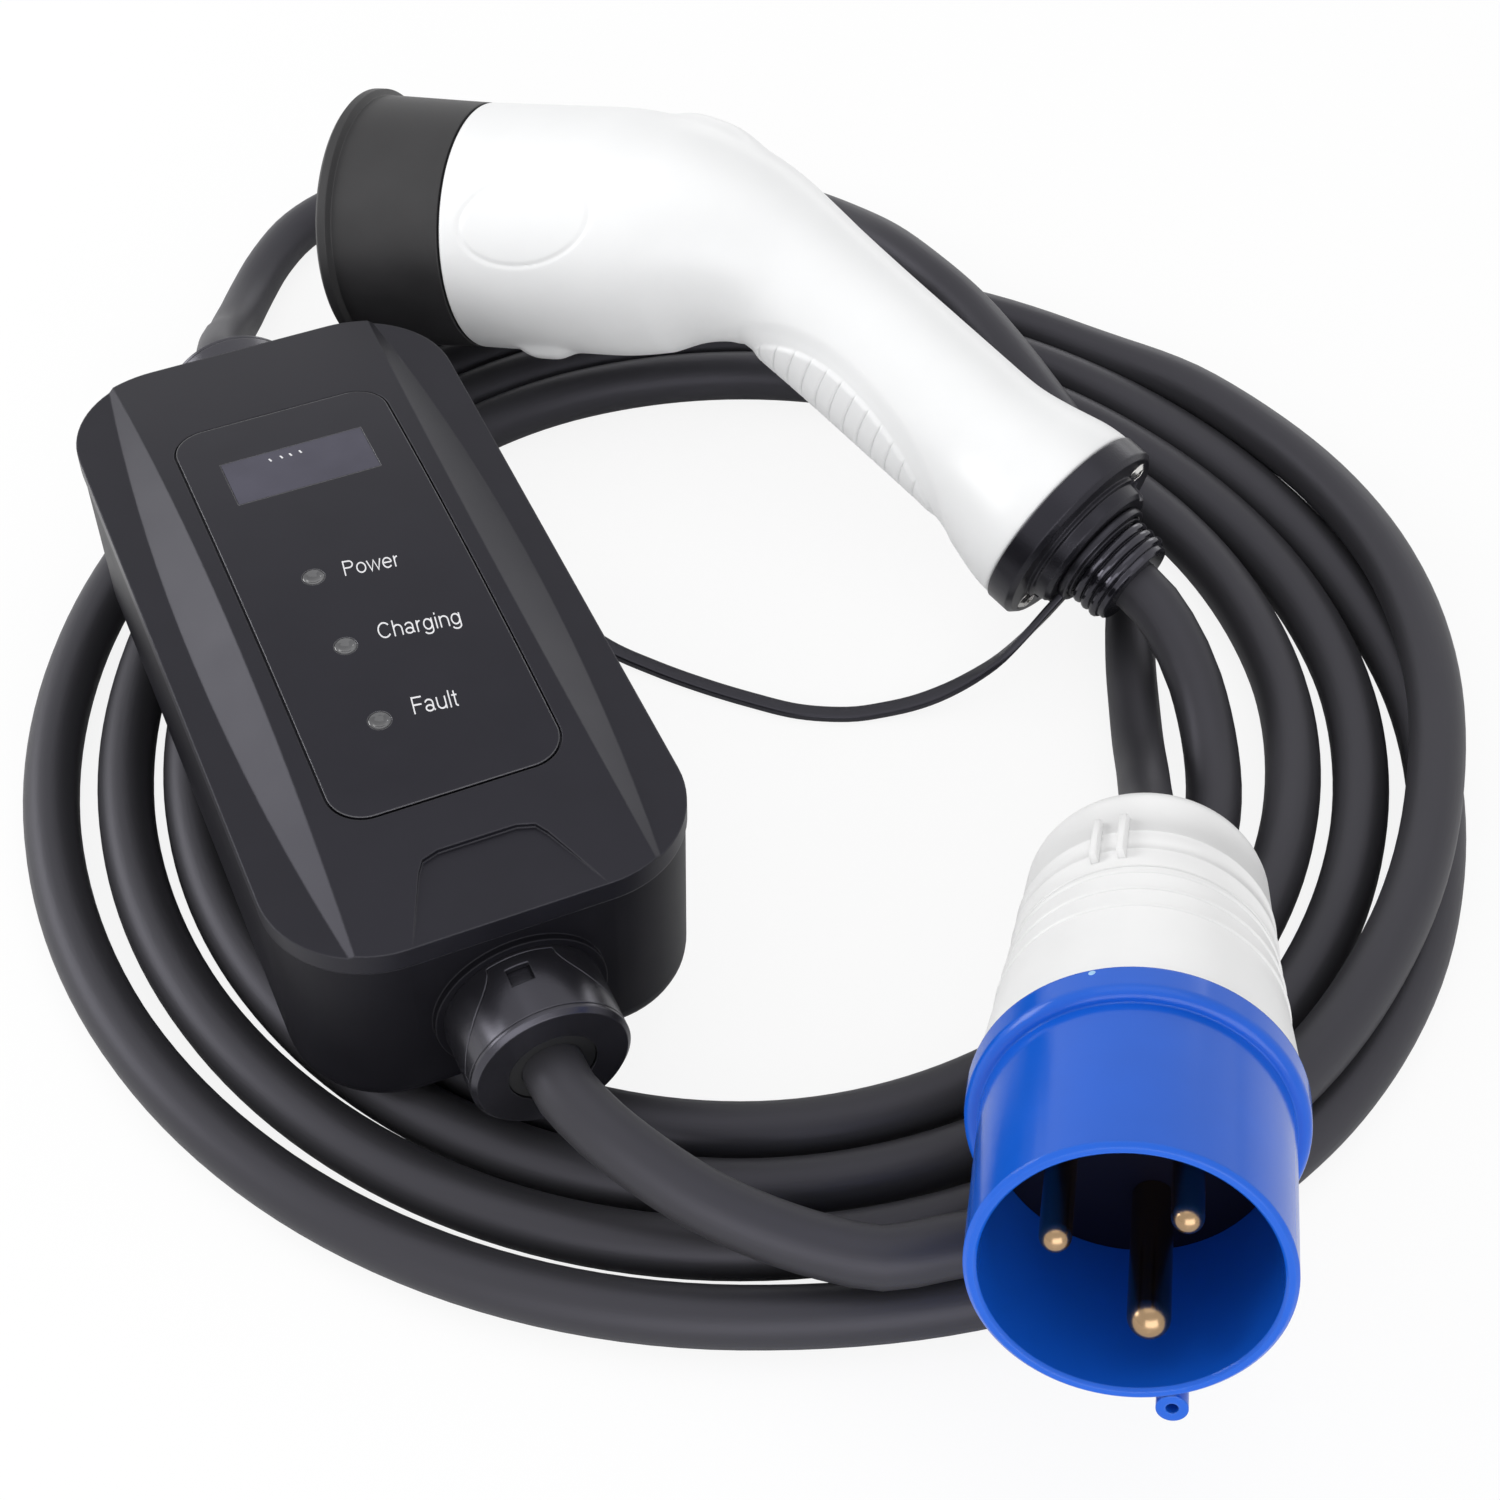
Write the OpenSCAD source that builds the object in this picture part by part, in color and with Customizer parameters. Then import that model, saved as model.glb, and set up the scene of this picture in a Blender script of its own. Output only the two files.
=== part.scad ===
// Portable charger for electric vehicles: a control box, a coiled charging cable
// with a bent vehicle connector, and a short supply cord with an industrial plug.

/* [Control box] */
// Width of the box across its lid
box_w = 92; // [86:1:104]
// Length of the box between its cable ends
box_l = 194; // [184:1:220]
// Height of the box from its back to the lid's rim
box_h = 51; // [48:1:60]
// Height of the lid's rim
lid_rim = 5; // [4.5:0.5:7]
// Rise of the arched lid above its rim
lid_arch = 6.5; // [5:0.5:9]
// Corner radius seen from above
box_corner = 24; // [20:1:28]
// Edge radius round the back
box_edge = 6; // [4:0.5:9]
// Draft of the base on each side
box_draft = 0.5; // [0.25:0.25:2]
// Wall thickness
box_wall = 3.2; // [2.8:0.2:4]
// Distance of the screw posts from the sides and ends
post_inset = 17; // [15:0.5:20]

/* [Lid and panel] */
// Distance of the bevels' tips from the lid's middle line
ridge_x = 33; // [31:0.5:36]
// How far each bevel's foot bulges outwards
bevel_bulge = 6.5; // [4:0.5:8]
// Slope of the bevels
bevel_slope = 34; // [28:1:45]
// Width of the label panel
panel_w = 52; // [48:0.5:54]
// Length of the label panel
panel_l = 131.5; // [126:0.5:138]
// Depth of the panel's recess
panel_recess = 1.2; // [1:0.1:1.6]
// Thickness of the panel
panel_t = 1.4; // [1:0.1:1.8]
// Width of the display window
window_w = 34; // [28:0.2:38]
// Length of the display window
window_l = 15.8; // [12:0.2:18]
// Diameter of an indicator lens
lens_d = 4.8; // [4:0.2:6]
// Distance between the indicators
lens_pitch = 23.2; // [20:0.2:26]

/* [Cable glands] */
// Outer radius of a gland's sleeve
gland_r = 17.4; // [16:0.2:19]
// Length of a gland outside its boss
gland_l = 18; // [15:0.5:21]
// Height of the glands' axis above the box's back
gland_z = 24; // [23:0.5:26]

/* [Vehicle connector] */
// Radius of the nose
nose_r = 31.8; // [31.5:0.1:34]
// Length of the nose from the bend to the cap
nose_l = 72.5; // [66:0.5:80]
// Bend between nose and handle
bend = 36; // [30:1:42]
// Length of the handle from the bend to its end cover
handle_l = 110; // [100:1:120]
// Half thickness of the grip
grip_r = 20.5; // [19:0.5:22]
// Radius of the handle's end
end_r = 25.3; // [24.5:0.1:27]
// Wall thickness of the handle
shell_t = 3; // [2.4:0.2:3.4]
// Radius of the nose sleeve under the cap
sleeve_r = 28.5; // [27.5:0.1:28.6]
// Length of the nose sleeve under the cap
sleeve_l = 27; // [24:0.5:28]

/* [Plug] */
// Outer radius of the plug's shroud
shroud_r = 29.5; // [29:0.1:31]
// Length of the shroud in front of its flange
shroud_l = 40.5; // [38:0.5:46]
// Radius of the flange
flange_r = 32.7; // [32:0.1:34.5]
// Length of the plug's body behind the flange
body_l = 42; // [38:0.5:46]
// Length of the rear nut
nut_l = 33; // [30:0.5:38]
// Radius at the rear nut's back
nut_r = 24.2; // [23:0.1:26]
// Radius of the circle through the pins
pin_circle = 13.8; // [13:0.1:14.4]
// Radius of the live and neutral pins
pin_r = 3; // [2.8:0.1:3.2]
// Radius of the earth pin
earth_r = 4; // [3.8:0.1:4.2]

/* [Cables] */
// Diameter of the charging cable
cable_d = 13.2; // [12.4:0.1:13.4]
// Diameter of the supply cord
supply_d = 12.4; // [11.6:0.1:12.6]
// Radius of the coil's innermost turn
coil_r = 133; // [132:0.5:136]
// Distance between turns that lie side by side
coil_pitch = 15.5; // [14:0.1:16.5]
// Turns that lie side by side
coil_turns = 3; // [2:1:3]

/* [Hidden] */
$fn = 48;

charcoal = "#3c3a42";
panel_black = "#24232a";
rubber_black = "#2b2b2d";
shell_white = "#f2f3f4";
plug_blue = "#2f6fd0";
brass = "#c9a45c";

// Clearance between pieces that fit into each other
fit = 0.1;
// Glue line under the panel's pieces
glue = 0.05;
// Overrun of a cut past the face that it opens
over = 1;
// Facets of the very large radii
arch_fn = 720;

// Places on the floor, measured from the middle of the coil
layout_centre = [-28.89, 27.23, 0];
box_place = [-86.4, -15.4, 13.6];
box_turn = [0, 0, 23.5];
gun_place = [-0.7, 119.3, 64];
gun_turn = [45.3, 9.2, 162.8];
plug_place = [74, -147.6, 60.5];
plug_turn = [73.5, 0, -9];
plug_roll = 20.5;
coil_place = [-2, 6, 0];

// Rotations as matrices, so that a cord can start where a piece ends
function rot_x(a) = [[1, 0, 0], [0, cos(a), -sin(a)], [0, sin(a), cos(a)]];
function rot_y(a) = [[cos(a), 0, sin(a)], [0, 1, 0], [-sin(a), 0, cos(a)]];
function rot_z(a) = [[cos(a), -sin(a), 0], [sin(a), cos(a), 0], [0, 0, 1]];
function placed(p, turn, place) = rot_z(turn[2]) * rot_y(turn[1]) * rot_x(turn[0]) * p + place;
function on_box(p) = placed(p, box_turn, box_place);
function on_gun(p) = placed(p, gun_turn, gun_place);
function on_plug(z) = placed([0, 0, z], plug_turn, plug_place);

module in_layout() translate(-layout_centre) children();
module in_box() in_layout() translate(box_place) rotate(box_turn) children();
module in_gun() in_layout() translate(gun_place) rotate(gun_turn) children();
module in_plug() in_layout() translate(plug_place) rotate(plug_turn) rotate([0, 0, plug_roll]) children();

// Rounded rectangle
module rounded_rect(w, l, r) {
    square([w - 2 * r, l], center = true);
    square([w, l - 2 * r], center = true);
    for (sx = [-1, 1], sy = [-1, 1])
        translate([sx * (w / 2 - r), sy * (l / 2 - r)]) circle(r);
}

// Ring round the X axis from x0 to x1
module tube_x(x0, x1, r_out, r_in) {
    translate([x0, 0, 0]) rotate([0, 90, 0]) difference() {
        cylinder(r = r_out, h = x1 - x0);
        translate([0, 0, -over]) cylinder(r = r_in, h = x1 - x0 + 2 * over);
    }
}

// Ring round the Z axis from z0 to z1
module tube_z(z0, z1, r_out, r_in) {
    translate([0, 0, z0]) difference() {
        cylinder(r = r_out, h = z1 - z0);
        translate([0, 0, -over]) cylinder(r = r_in, h = z1 - z0 + 2 * over);
    }
}

// Sweep of a ring along a route
function unit(v) = v / norm(v);
function heading(p, i) = unit(p[min(i + 1, len(p) - 1)] - p[max(i - 1, 0)]);
function level_sides(p) = [for (i = [0 : len(p) - 1]) unit(cross([0, 0, 1], heading(p, i)))];
function ring(p, i, shape, a) =
    let (b = cross(heading(p, i), a))
    [for (q = shape) p[i] + q[0] * a + q[1] * b];
function circle_points(r, n) = [for (k = [0 : n - 1]) r * [cos(360 * k / n), sin(360 * k / n)]];
function wall_faces(rings, n, first) = [
    for (i = [0 : rings - 2], k = [0 : n - 1])
        let (a = first + i * n + k, b = first + i * n + (k + 1) % n)
        each [[a, b, a + n], [b, b + n, a + n]]
];

// SIDES holds the direction of the shape's X at each point of the route
module sweep(route, shape, sides) {
    n = len(shape);
    rings = len(route);
    points = [for (i = [0 : rings - 1]) each ring(route, i, shape, sides[i])];
    start = [[for (k = [n - 1 : -1 : 0]) k]];
    end = [[for (k = [0 : n - 1]) (rings - 1) * n + k]];
    faces = concat(start, wall_faces(rings, n, 0), end);
    polyhedron(points, [for (f = faces) [for (k = [len(f) - 1 : -1 : 0]) f[k]]]);
}

// Control box
base_h = box_h - lid_rim;
base_floor = 3;
arch_end = 0.5;
arch_rise = lid_arch - arch_end;
arch_r = (pow(box_l / 2, 2) + pow(arch_rise, 2)) / (2 * arch_rise);
seal_w = 1.4;
seal_t = 1.5;
base_step = 0.4;
seal_inset = base_step + 0.9;
base_in = base_step + box_wall;
boss_r = gland_r + 1.6;
boss_out = 1.2;
boss_face = box_l / 2 + boss_out;
spigot_r = 11;
post_r = 5;
post_x = box_w / 2 - post_inset;
post_y = box_l / 2 - post_inset;
screw_r = 1.45;
screw_head_r = 2.8;
screw_head_h = 2.4;
head_seat = 24;
screw_grip = 4;
board_z = 10;
board_t = 1.6;
board_w = box_w - 18;
board_l = 2 * (post_y - post_r - fit) - 8;
standoff_r = 3.5;
standoff_inset = 6;
panel_y = 1.5;
panel_corner = 8.5;
panel_gap = 0.5;
window_y = 44.4;
lens_x = -8.6;
lens_y = 6.2;

function arch_z(y, r) = box_h + lid_arch - arch_r + sqrt(r * r - y * y);

function tub_profile(corner, h, edge, draft) = concat(
    [[0, 0]],
    [for (a = [-90 : 15 : 0]) [corner - draft - edge + edge * cos(a), edge + edge * sin(a)]],
    [[corner, h], [0, h]]
);

module tub_section(half, profile) {
    last = len(profile) - 2;
    right = [for (i = [1 : last]) [half + profile[i][0], profile[i][1]]];
    left = [for (i = [last : -1 : 1]) [-half - profile[i][0], profile[i][1]]];
    polygon(concat(right, left));
}

// Drafted tub with rounded corners and a rounded back edge
module tub(w, l, corner, h, edge, draft) {
    profile = tub_profile(corner, h, edge, draft);
    for (sx = [-1, 1], sy = [-1, 1])
        translate([sx * (w / 2 - corner), sy * (l / 2 - corner), 0]) rotate_extrude() polygon(profile);
    rotate([90, 0, 0]) linear_extrude(l - 2 * corner, center = true) tub_section(w / 2 - corner, profile);
    rotate([90, 0, 90]) linear_extrude(w - 2 * corner, center = true) tub_section(l / 2 - corner, profile);
}

module at_posts() {
    for (sx = [-1, 1], sy = [-1, 1]) translate([sx * post_x, sy * post_y, 0]) children();
}

module at_standoffs() {
    for (sx = [-1, 1], sy = [-1, 1])
        translate([sx * (board_w / 2 - standoff_inset), sy * (board_l / 2 - standoff_inset), 0]) children();
}

// Points along a gland's axis, from the boss face outwards; end is 1 at the box's far end, -1 at its near one
module at_gland(end) {
    translate([0, end * boss_face, gland_z]) rotate([-90 * end, 0, 0]) children();
}

module box_base() color(charcoal) in_box() difference() {
    union() {
        difference() {
            tub(box_w - 2 * base_step, box_l - 2 * base_step, box_corner - base_step,
                base_h, box_edge, box_draft);
            difference() {
                translate([0, 0, base_floor])
                    tub(box_w - 2 * base_in, box_l - 2 * base_in, box_corner - base_in,
                        base_h - base_floor + over, box_edge - box_wall, box_draft);
                at_posts() cylinder(r = post_r, h = base_h);
                at_standoffs() cylinder(r = standoff_r, h = board_z);
            }
        }
        for (end = [-1, 1]) at_gland(end) translate([0, 0, -boss_out - box_draft - base_in])
            cylinder(r = boss_r, h = boss_out + box_draft + base_in);
    }
    for (end = [-1, 1]) at_gland(end) translate([0, 0, -4 * box_wall - over])
        cylinder(r = spigot_r + fit, h = 4 * box_wall + 2 * over);
    at_posts() {
        translate([0, 0, -over]) cylinder(r = screw_head_r + 4 * fit, h = head_seat + over);
        cylinder(r = screw_r + 2 * fit, h = base_h + over);
    }
    translate([0, 0, base_h - seal_t]) linear_extrude(seal_t + over) difference() {
        seal_outline(seal_inset - fit);
        seal_outline(seal_inset + seal_w + fit);
    }
}

module seal_outline(inset) rounded_rect(box_w - 2 * inset, box_l - 2 * inset, box_corner - inset);

module lid_seal() color(rubber_black) in_box() translate([0, 0, base_h - seal_t]) linear_extrude(seal_t)
    difference() {
        seal_outline(seal_inset);
        seal_outline(seal_inset + seal_w);
    }

// Arch of the lid as a cylinder across the box, lowered by drop
module arch(drop) {
    translate([0, 0, box_h + lid_arch - arch_r]) rotate([0, 90, 0])
        cylinder(r = arch_r - drop, h = 2 * box_w, center = true, $fn = arch_fn);
}

// Large cylinder that rounds one bevel of the lid
module bevel(side) {
    sagitta = bevel_bulge * sin(bevel_slope);
    r = (pow(box_l / 2, 2) + pow(sagitta, 2)) / (2 * sagitta);
    mirror([side < 0 ? 1 : 0, 0, 0]) translate([ridge_x + bevel_bulge, 0, box_h])
        rotate([0, bevel_slope - 90, 0]) translate([-r, 0, 0])
        cylinder(r = r, h = 4 * box_w, center = true, $fn = arch_fn);
}

module panel_outline(inset) translate([0, panel_y])
    rounded_rect(panel_w - 2 * inset, panel_l - 2 * inset, panel_corner - inset);

module window_outline(inset) translate([0, window_y])
    square([window_w - 2 * inset, window_l - 2 * inset], center = true);

module at_lenses() for (i = [0 : 2]) translate([lens_x, lens_y - i * lens_pitch, 0]) children();

// Ramp that falls away from a step to the lid's near edge
module finger_ramp() {
    ramp_l = 20.5;
    ramp_far = 17;
    ramp_mid = 28;
    ramp_near = 42;
    ramp_corner = 4;
    ramp_d = 1.2;
    half = [[ramp_near / 2, 0], [ramp_mid / 2, ramp_l - ramp_corner],
            [(ramp_far + ramp_mid) / 4 + 1, ramp_l - 1.2], [ramp_far / 2, ramp_l]];
    translate([0, -box_l / 2, 0]) intersection() {
        translate([0, 0, base_h]) linear_extrude(lid_rim + lid_arch)
            polygon(concat(half, [for (i = [len(half) - 1 : -1 : 0]) [-half[i][0], half[i][1]]]));
        translate([0, ramp_l, arch_z(box_l / 2 - ramp_l, arch_r) - ramp_d])
            rotate([asin((arch_z(box_l / 2 - ramp_l, arch_r) - ramp_d - box_h - arch_end) / ramp_l), 0, 0])
            translate([-ramp_near, -2 * ramp_l, 0]) cube([2 * ramp_near, 4 * ramp_l, lid_arch + over]);
    }
}

module box_lid() color(charcoal) in_box() difference() {
    union() {
        translate([0, 0, base_h]) linear_extrude(lid_rim) rounded_rect(box_w, box_l, box_corner);
        intersection() {
            translate([0, 0, base_h]) linear_extrude(lid_rim + lid_arch + over)
                rounded_rect(box_w, box_l, box_corner);
            arch(0);
            bevel(1);
            bevel(-1);
        }
    }
    difference() {
        translate([0, 0, base_h]) linear_extrude(lid_rim + lid_arch + over) panel_outline(0);
        arch(panel_recess);
    }
    // Hollow under the lid, with pads left at the screws
    difference() {
        translate([0, 0, base_h - over]) linear_extrude(2.4 + over)
            rounded_rect(box_w - 4 * box_wall, box_l - 4 * box_wall, box_corner - 2 * box_wall);
        at_posts() cylinder(r = post_r, h = box_h);
    }
    at_posts() translate([0, 0, base_h - over]) cylinder(r = screw_r + fit / 2, h = screw_grip + over);
    translate([0, 0, base_h - over]) linear_extrude(lid_rim + lid_arch + 2 * over) window_outline(2);
    at_lenses() cylinder(r = lens_d / 4, h = 2 * box_h);
    finger_ramp();
}

// Skin that follows the arch between two depths
module arch_skin(top, bottom) difference() {
    intersection() {
        children();
        arch(top);
    }
    arch(bottom);
}

module front_panel() color(panel_black) in_box() difference() {
    arch_skin(panel_recess - panel_t, panel_recess - glue)
        translate([0, 0, base_h]) linear_extrude(lid_rim + lid_arch + panel_t) panel_outline(panel_gap);
    linear_extrude(2 * box_h) window_outline(0);
    at_lenses() cylinder(r = lens_d / 2 + fit, h = 2 * box_h);
}

module display_window() color("#5d5b68") in_box()
    arch_skin(panel_recess - panel_t, panel_recess - glue)
        translate([0, 0, base_h]) linear_extrude(lid_rim + lid_arch + panel_t) window_outline(fit);

module indicator_lenses() color("#8d8d92") in_box()
    for (i = [0 : 2]) let (y = lens_y - i * lens_pitch)
        arch_skin(panel_recess - panel_t, panel_recess - glue)
            translate([lens_x, y, base_h]) cylinder(r = lens_d / 2, h = lid_rim + lid_arch + panel_t);

module circuit_board() color("#2f6b45") in_box() translate([0, 0, board_z]) difference() {
    linear_extrude(board_t) rounded_rect(board_w, board_l, 3);
    at_standoffs() translate([0, 0, -over]) cylinder(r = 1.6, h = board_t + 2 * over);
}

module on_board(x, y) in_box() translate([x, y, board_z + board_t]) children();

relay_size = [26, 30, 20];
relay_at = [18, -22];
sensor_r = 11;
sensor_core = [10, 12];
sensor_y = -52;
supply_size = [30, 34, 17];
supply_at = [-17, 22];
part_corner = 2;
cap_can_r = 6;
cap_can_h = 19;
cap_can_at = [18, 30];
cap_can_pitch = 16;

module power_relays() color("#3b4350") for (side = [-1, 1]) on_board(side * relay_at[0], relay_at[1])
    linear_extrude(relay_size[2]) rounded_rect(relay_size[0], relay_size[1], part_corner);

module leakage_sensor() color("#4a4a4a") on_board(0, sensor_y) rotate_extrude()
    translate([sensor_r, sensor_core[1] / 2]) rounded_rect(sensor_core[0], sensor_core[1], part_corner);

module supply_module() color("#b08f3f") on_board(supply_at[0], supply_at[1])
    linear_extrude(supply_size[2]) rounded_rect(supply_size[0], supply_size[1], part_corner);

module capacitors() color("#26304d") for (i = [-1 : 1])
        on_board(cap_can_at[0], cap_can_at[1] + i * cap_can_pitch) {
    cylinder(r = cap_can_r, h = cap_can_h);
    translate([0, 0, cap_can_h]) cylinder(r1 = cap_can_r, r2 = cap_can_r - 1, h = 1);
}

module lid_screws() color("#b9bcc0") in_box() at_posts() {
    translate([0, 0, head_seat - screw_head_h]) cylinder(r = screw_head_r, h = screw_head_h);
    translate([0, 0, head_seat]) cylinder(r = screw_r, h = base_h - head_seat + screw_grip - fit);
}

// Cable gland: a sleeve on the boss with a spigot through the wall and a clip let into its top
gland_seal_t = 3;
gland_seal_l = 9;
clip_t = 1.4;
clip_start = 1;
clip_l = gland_l - clip_start - 2;
clip_narrow = 7;
clip_wide = gland_r + 0.4;

// Bell outline of the clip seen from above, narrow at the boss and wide at the gland's end
module clip_outline(gap) {
    steps = 12;
    half = [for (i = [0 : steps]) let (t = i / steps, e = t * t * (3 - 2 * t))
        [clip_narrow + (clip_wide - clip_narrow) * e + gap, clip_start - gap + (clip_l + 2 * gap) * t]];
    polygon(concat(half, [for (i = [steps : -1 : 0]) [-half[i][0], half[i][1]]]));
}

module clip_body(gap) intersection() {
    tube_z(0, gland_l, gland_r + (gap > 0 ? over : 0), gland_r - clip_t - gap);
    rotate([90, 0, 0]) translate([0, 0, -2 * gland_r]) linear_extrude(2 * gland_r - 2) clip_outline(gap);
}

module gland_sleeve(cord_r) difference() {
    union() {
        translate([0, 0, -box_wall - boss_out]) cylinder(r = spigot_r, h = box_wall + boss_out);
        rotate_extrude() polygon([
            [0, 0], [gland_r, 0], [gland_r, gland_l - 1], [gland_r - 1, gland_l], [0, gland_l]
        ]);
    }
    clip_body(fit);
    translate([0, 0, gland_l - gland_seal_l]) cylinder(r = cord_r + gland_seal_t, h = gland_seal_l + over);
    translate([0, 0, -2 * box_wall - boss_out])
        cylinder(r = cord_r + fit, h = gland_l + 2 * box_wall + boss_out);
}

// Clip snapped into the sleeve, with a small window
module gland_clip() {
    window = [5, 4.4];
    difference() {
        clip_body(0);
        translate([-window[0] / 2 - 1.5, 0, clip_start + 2.4]) cube([window[0], 2 * gland_r, window[1]]);
    }
}

module gland_seal(cord_r)
    tube_z(gland_l - gland_seal_l, gland_l - 0.6, cord_r + gland_seal_t - fit, cord_r + fit / 2);

module supply_gland() color(charcoal) in_box() at_gland(1) rotate([0, 0, 180]) gland_sleeve(supply_d / 2);
module supply_gland_clip() color(charcoal) in_box() at_gland(1) rotate([0, 0, 180]) gland_clip();
module supply_gland_seal() color(rubber_black) in_box() at_gland(1) gland_seal(supply_d / 2);
module outlet_gland() color(charcoal) in_box() at_gland(-1) gland_sleeve(cable_d / 2);
module outlet_gland_clip() color(charcoal) in_box() at_gland(-1) gland_clip();
module outlet_gland_seal() color(rubber_black) in_box() at_gland(-1) gland_seal(cable_d / 2);

// Vehicle connector: X points out of the nose, Z away from the inner side of the bend
spine_r = 58;
spine_t = spine_r * tan(bend / 2);
nose_straight = nose_l - spine_t;
spine_arc = spine_r * bend * PI / 180;
handle_straight = handle_l - spine_t;
spine_l = nose_straight + spine_arc + handle_straight;

// Point and direction of the spine at a distance from the nose edge
function spine_angle(s) = min(max((s - nose_straight) / spine_arc, 0), 1) * bend;
function spine(s) =
    let (a = spine_angle(s), past = max(s - nose_straight - spine_arc, 0))
    s < nose_straight ? [nose_l - s, 0, 0]
    : [spine_t - spine_r * sin(a) - past * cos(a), 0, -spine_r * (1 - cos(a)) - past * sin(a)];

// Half sizes along the spine: distance, side, outer, inner
flare_l = 28;
shell_stations = [
    [0, nose_r, nose_r, nose_r],
    [nose_straight * 0.72, nose_r, nose_r, nose_r],
    [nose_straight, nose_r - 0.8, nose_r - 1.8, nose_r - 1.7],
    [nose_straight + spine_arc * 0.5, nose_r - 5, nose_r - 6.8, nose_r - 6.6],
    [nose_straight + spine_arc, grip_r + 0.5, grip_r + 0.4, grip_r + 0.2],
    [spine_l - handle_straight * 0.7, grip_r - 1.5, grip_r, grip_r - 0.3],
    [spine_l - flare_l, grip_r - 1.5, grip_r, grip_r - 0.3],
    [spine_l - flare_l / 2, (grip_r + end_r) / 2 - 0.5, (grip_r + end_r) / 2, (grip_r + end_r) / 2],
    [spine_l - 3, end_r, end_r, end_r],
    [spine_l, end_r, end_r, end_r]
];

// Smooth curve through the stations that never overshoots
function climb(i) = let (a = shell_stations[i], b = shell_stations[i + 1]) (b - a) / (b[0] - a[0]);
function station_slope(i) = i <= 0 || i >= len(shell_stations) - 1 ? [0, 0, 0, 0]
    : let (a = climb(i - 1), b = climb(i))
      [for (k = [0 : 3]) a[k] * b[k] <= 0 ? 0 : 2 * a[k] * b[k] / (a[k] + b[k])];
function station(s, i = 0) =
    i < len(shell_stations) - 2 && s > shell_stations[i + 1][0] ? station(s, i + 1)
    : let (a = shell_stations[i], b = shell_stations[i + 1], h = b[0] - a[0],
           t = min(max((s - a[0]) / h, 0), 1))
      (2 * pow(t, 3) - 3 * t * t + 1) * a + (pow(t, 3) - 2 * t * t + t) * h * station_slope(i)
      + (3 * t * t - 2 * pow(t, 3)) * b + (pow(t, 3) - t * t) * h * station_slope(i + 1);

// Ribbed pad on the inner side of the handle, pointed at both ends
pad_from = nose_straight + spine_arc + 4;
pad_to = spine_l - flare_l;
pad_mid = pad_from + 0.42 * (pad_to - pad_from);
pad_half = 62;
pad_edge = 10;
pad_rise = 0.5;
rib_pitch = 4.9;
rib_rise = 0.5;
rib_half = 0.9;
rib_count = floor((pad_to - pad_from - 7) / rib_pitch);
function rib_at(i) = pad_from + 7 + i * rib_pitch;
function pad_reach(s) =
    let (reach = s < pad_mid ? pad_mid - pad_from : pad_to - pad_mid)
    pad_half * sqrt(max(1 - pow((s - pad_mid) / reach, 2), 0));
function rib(s) = max([for (i = [0 : rib_count - 1]) rib_rise * max(1 - abs(s - rib_at(i)) / rib_half, 0)]);
function pad(s, q) = s < pad_from || s > pad_to ? 0
    : min(max((pad_reach(s) - abs(q - 270)) / pad_edge, 0), 1) * (pad_rise + rib(s));

shell_sides = 36;
function shell_ring(s, wall) =
    let (a = spine_angle(s), h = station(s), up = [-sin(a), 0, cos(a)])
    [for (k = [0 : shell_sides - 1])
        let (q = 360 * k / shell_sides, out = wall > 0 ? -wall : pad(s, q),
             v = (sin(q) > 0 ? h[2] : h[3]) + out)
        spine(s) + [0, (h[1] + out) * cos(q), 0] + v * sin(q) * up];
nose_rings = concat(
    [for (i = [0 : 5]) nose_straight * i / 6],
    [for (i = [0 : 9]) nose_straight + spine_arc * i / 10]
);
end_rings = [for (i = [0 : 7]) pad_to + (spine_l - pad_to) * i / 7];
skin_rings = concat(
    nose_rings,
    [nose_straight + spine_arc, pad_from, pad_from + 3],
    [for (i = [0 : rib_count - 1], d = [-1, 0, 1]) rib_at(i) + d * rib_half],
    end_rings
);
lining_rings = concat(
    nose_rings,
    [for (i = [0 : 6]) nose_straight + spine_arc + (pad_to - nose_straight - spine_arc) * i / 7],
    end_rings
);

// Moulded handle: an outer and an inner skin along the bent spine, joined at both open ends
module handle_shell() color(shell_white) in_gun() {
    n = shell_sides;
    skins = len(skin_rings);
    linings = len(lining_rings);
    outer = [for (s = skin_rings) each shell_ring(s, 0)];
    inner = [for (s = lining_rings) each shell_ring(s, shell_t)];
    first = skins * n;
    last = (skins - 1) * n;
    inside = first + (linings - 1) * n;
    skin = wall_faces(skins, n, 0);
    lining = [for (f = wall_faces(linings, n, first)) [f[2], f[1], f[0]]];
    lips = [for (k = [0 : n - 1]) let (j = (k + 1) % n) each [
        [k, first + k, j], [j, first + k, first + j],
        [last + k, last + j, inside + k], [last + j, inside + j, inside + k]
    ]];
    polyhedron(concat(outer, inner), concat(skin, lining, lips));
}

// Round outline with the flat top of the vehicle connector
module nose_outline(r) intersection() {
    circle(r);
    translate([-r, -r]) square([2 * r, r + 0.84 * sleeve_r - (sleeve_r - r)]);
}

// Extrusion along the nose from x0 to x1, with the outline's Y up
module along_nose(x0, x1) translate([x0, 0, 0]) rotate([90, 0, 90]) linear_extrude(x1 - x0) children();

sleeve_wall = 2.8;
sleeve_in = 24;
carrier_r = 22;
carrier_back = nose_l - sleeve_in + 2;
contact_rows = [[[-15.4, 0], 4], [[0, 0], 4], [[15.4, 0], 4], [[-7.6, 12], 2.4], [[7.6, 12], 2.4]];
spare_rows = [[[-8, -13.2], 4], [[8, -13.2], 4]];
contact_t = 1.1;

module nose_sleeve() color(rubber_black) in_gun()
        along_nose(nose_l - sleeve_in, nose_l + sleeve_l) difference() {
    nose_outline(sleeve_r);
    nose_outline(sleeve_r - sleeve_wall);
}

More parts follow.
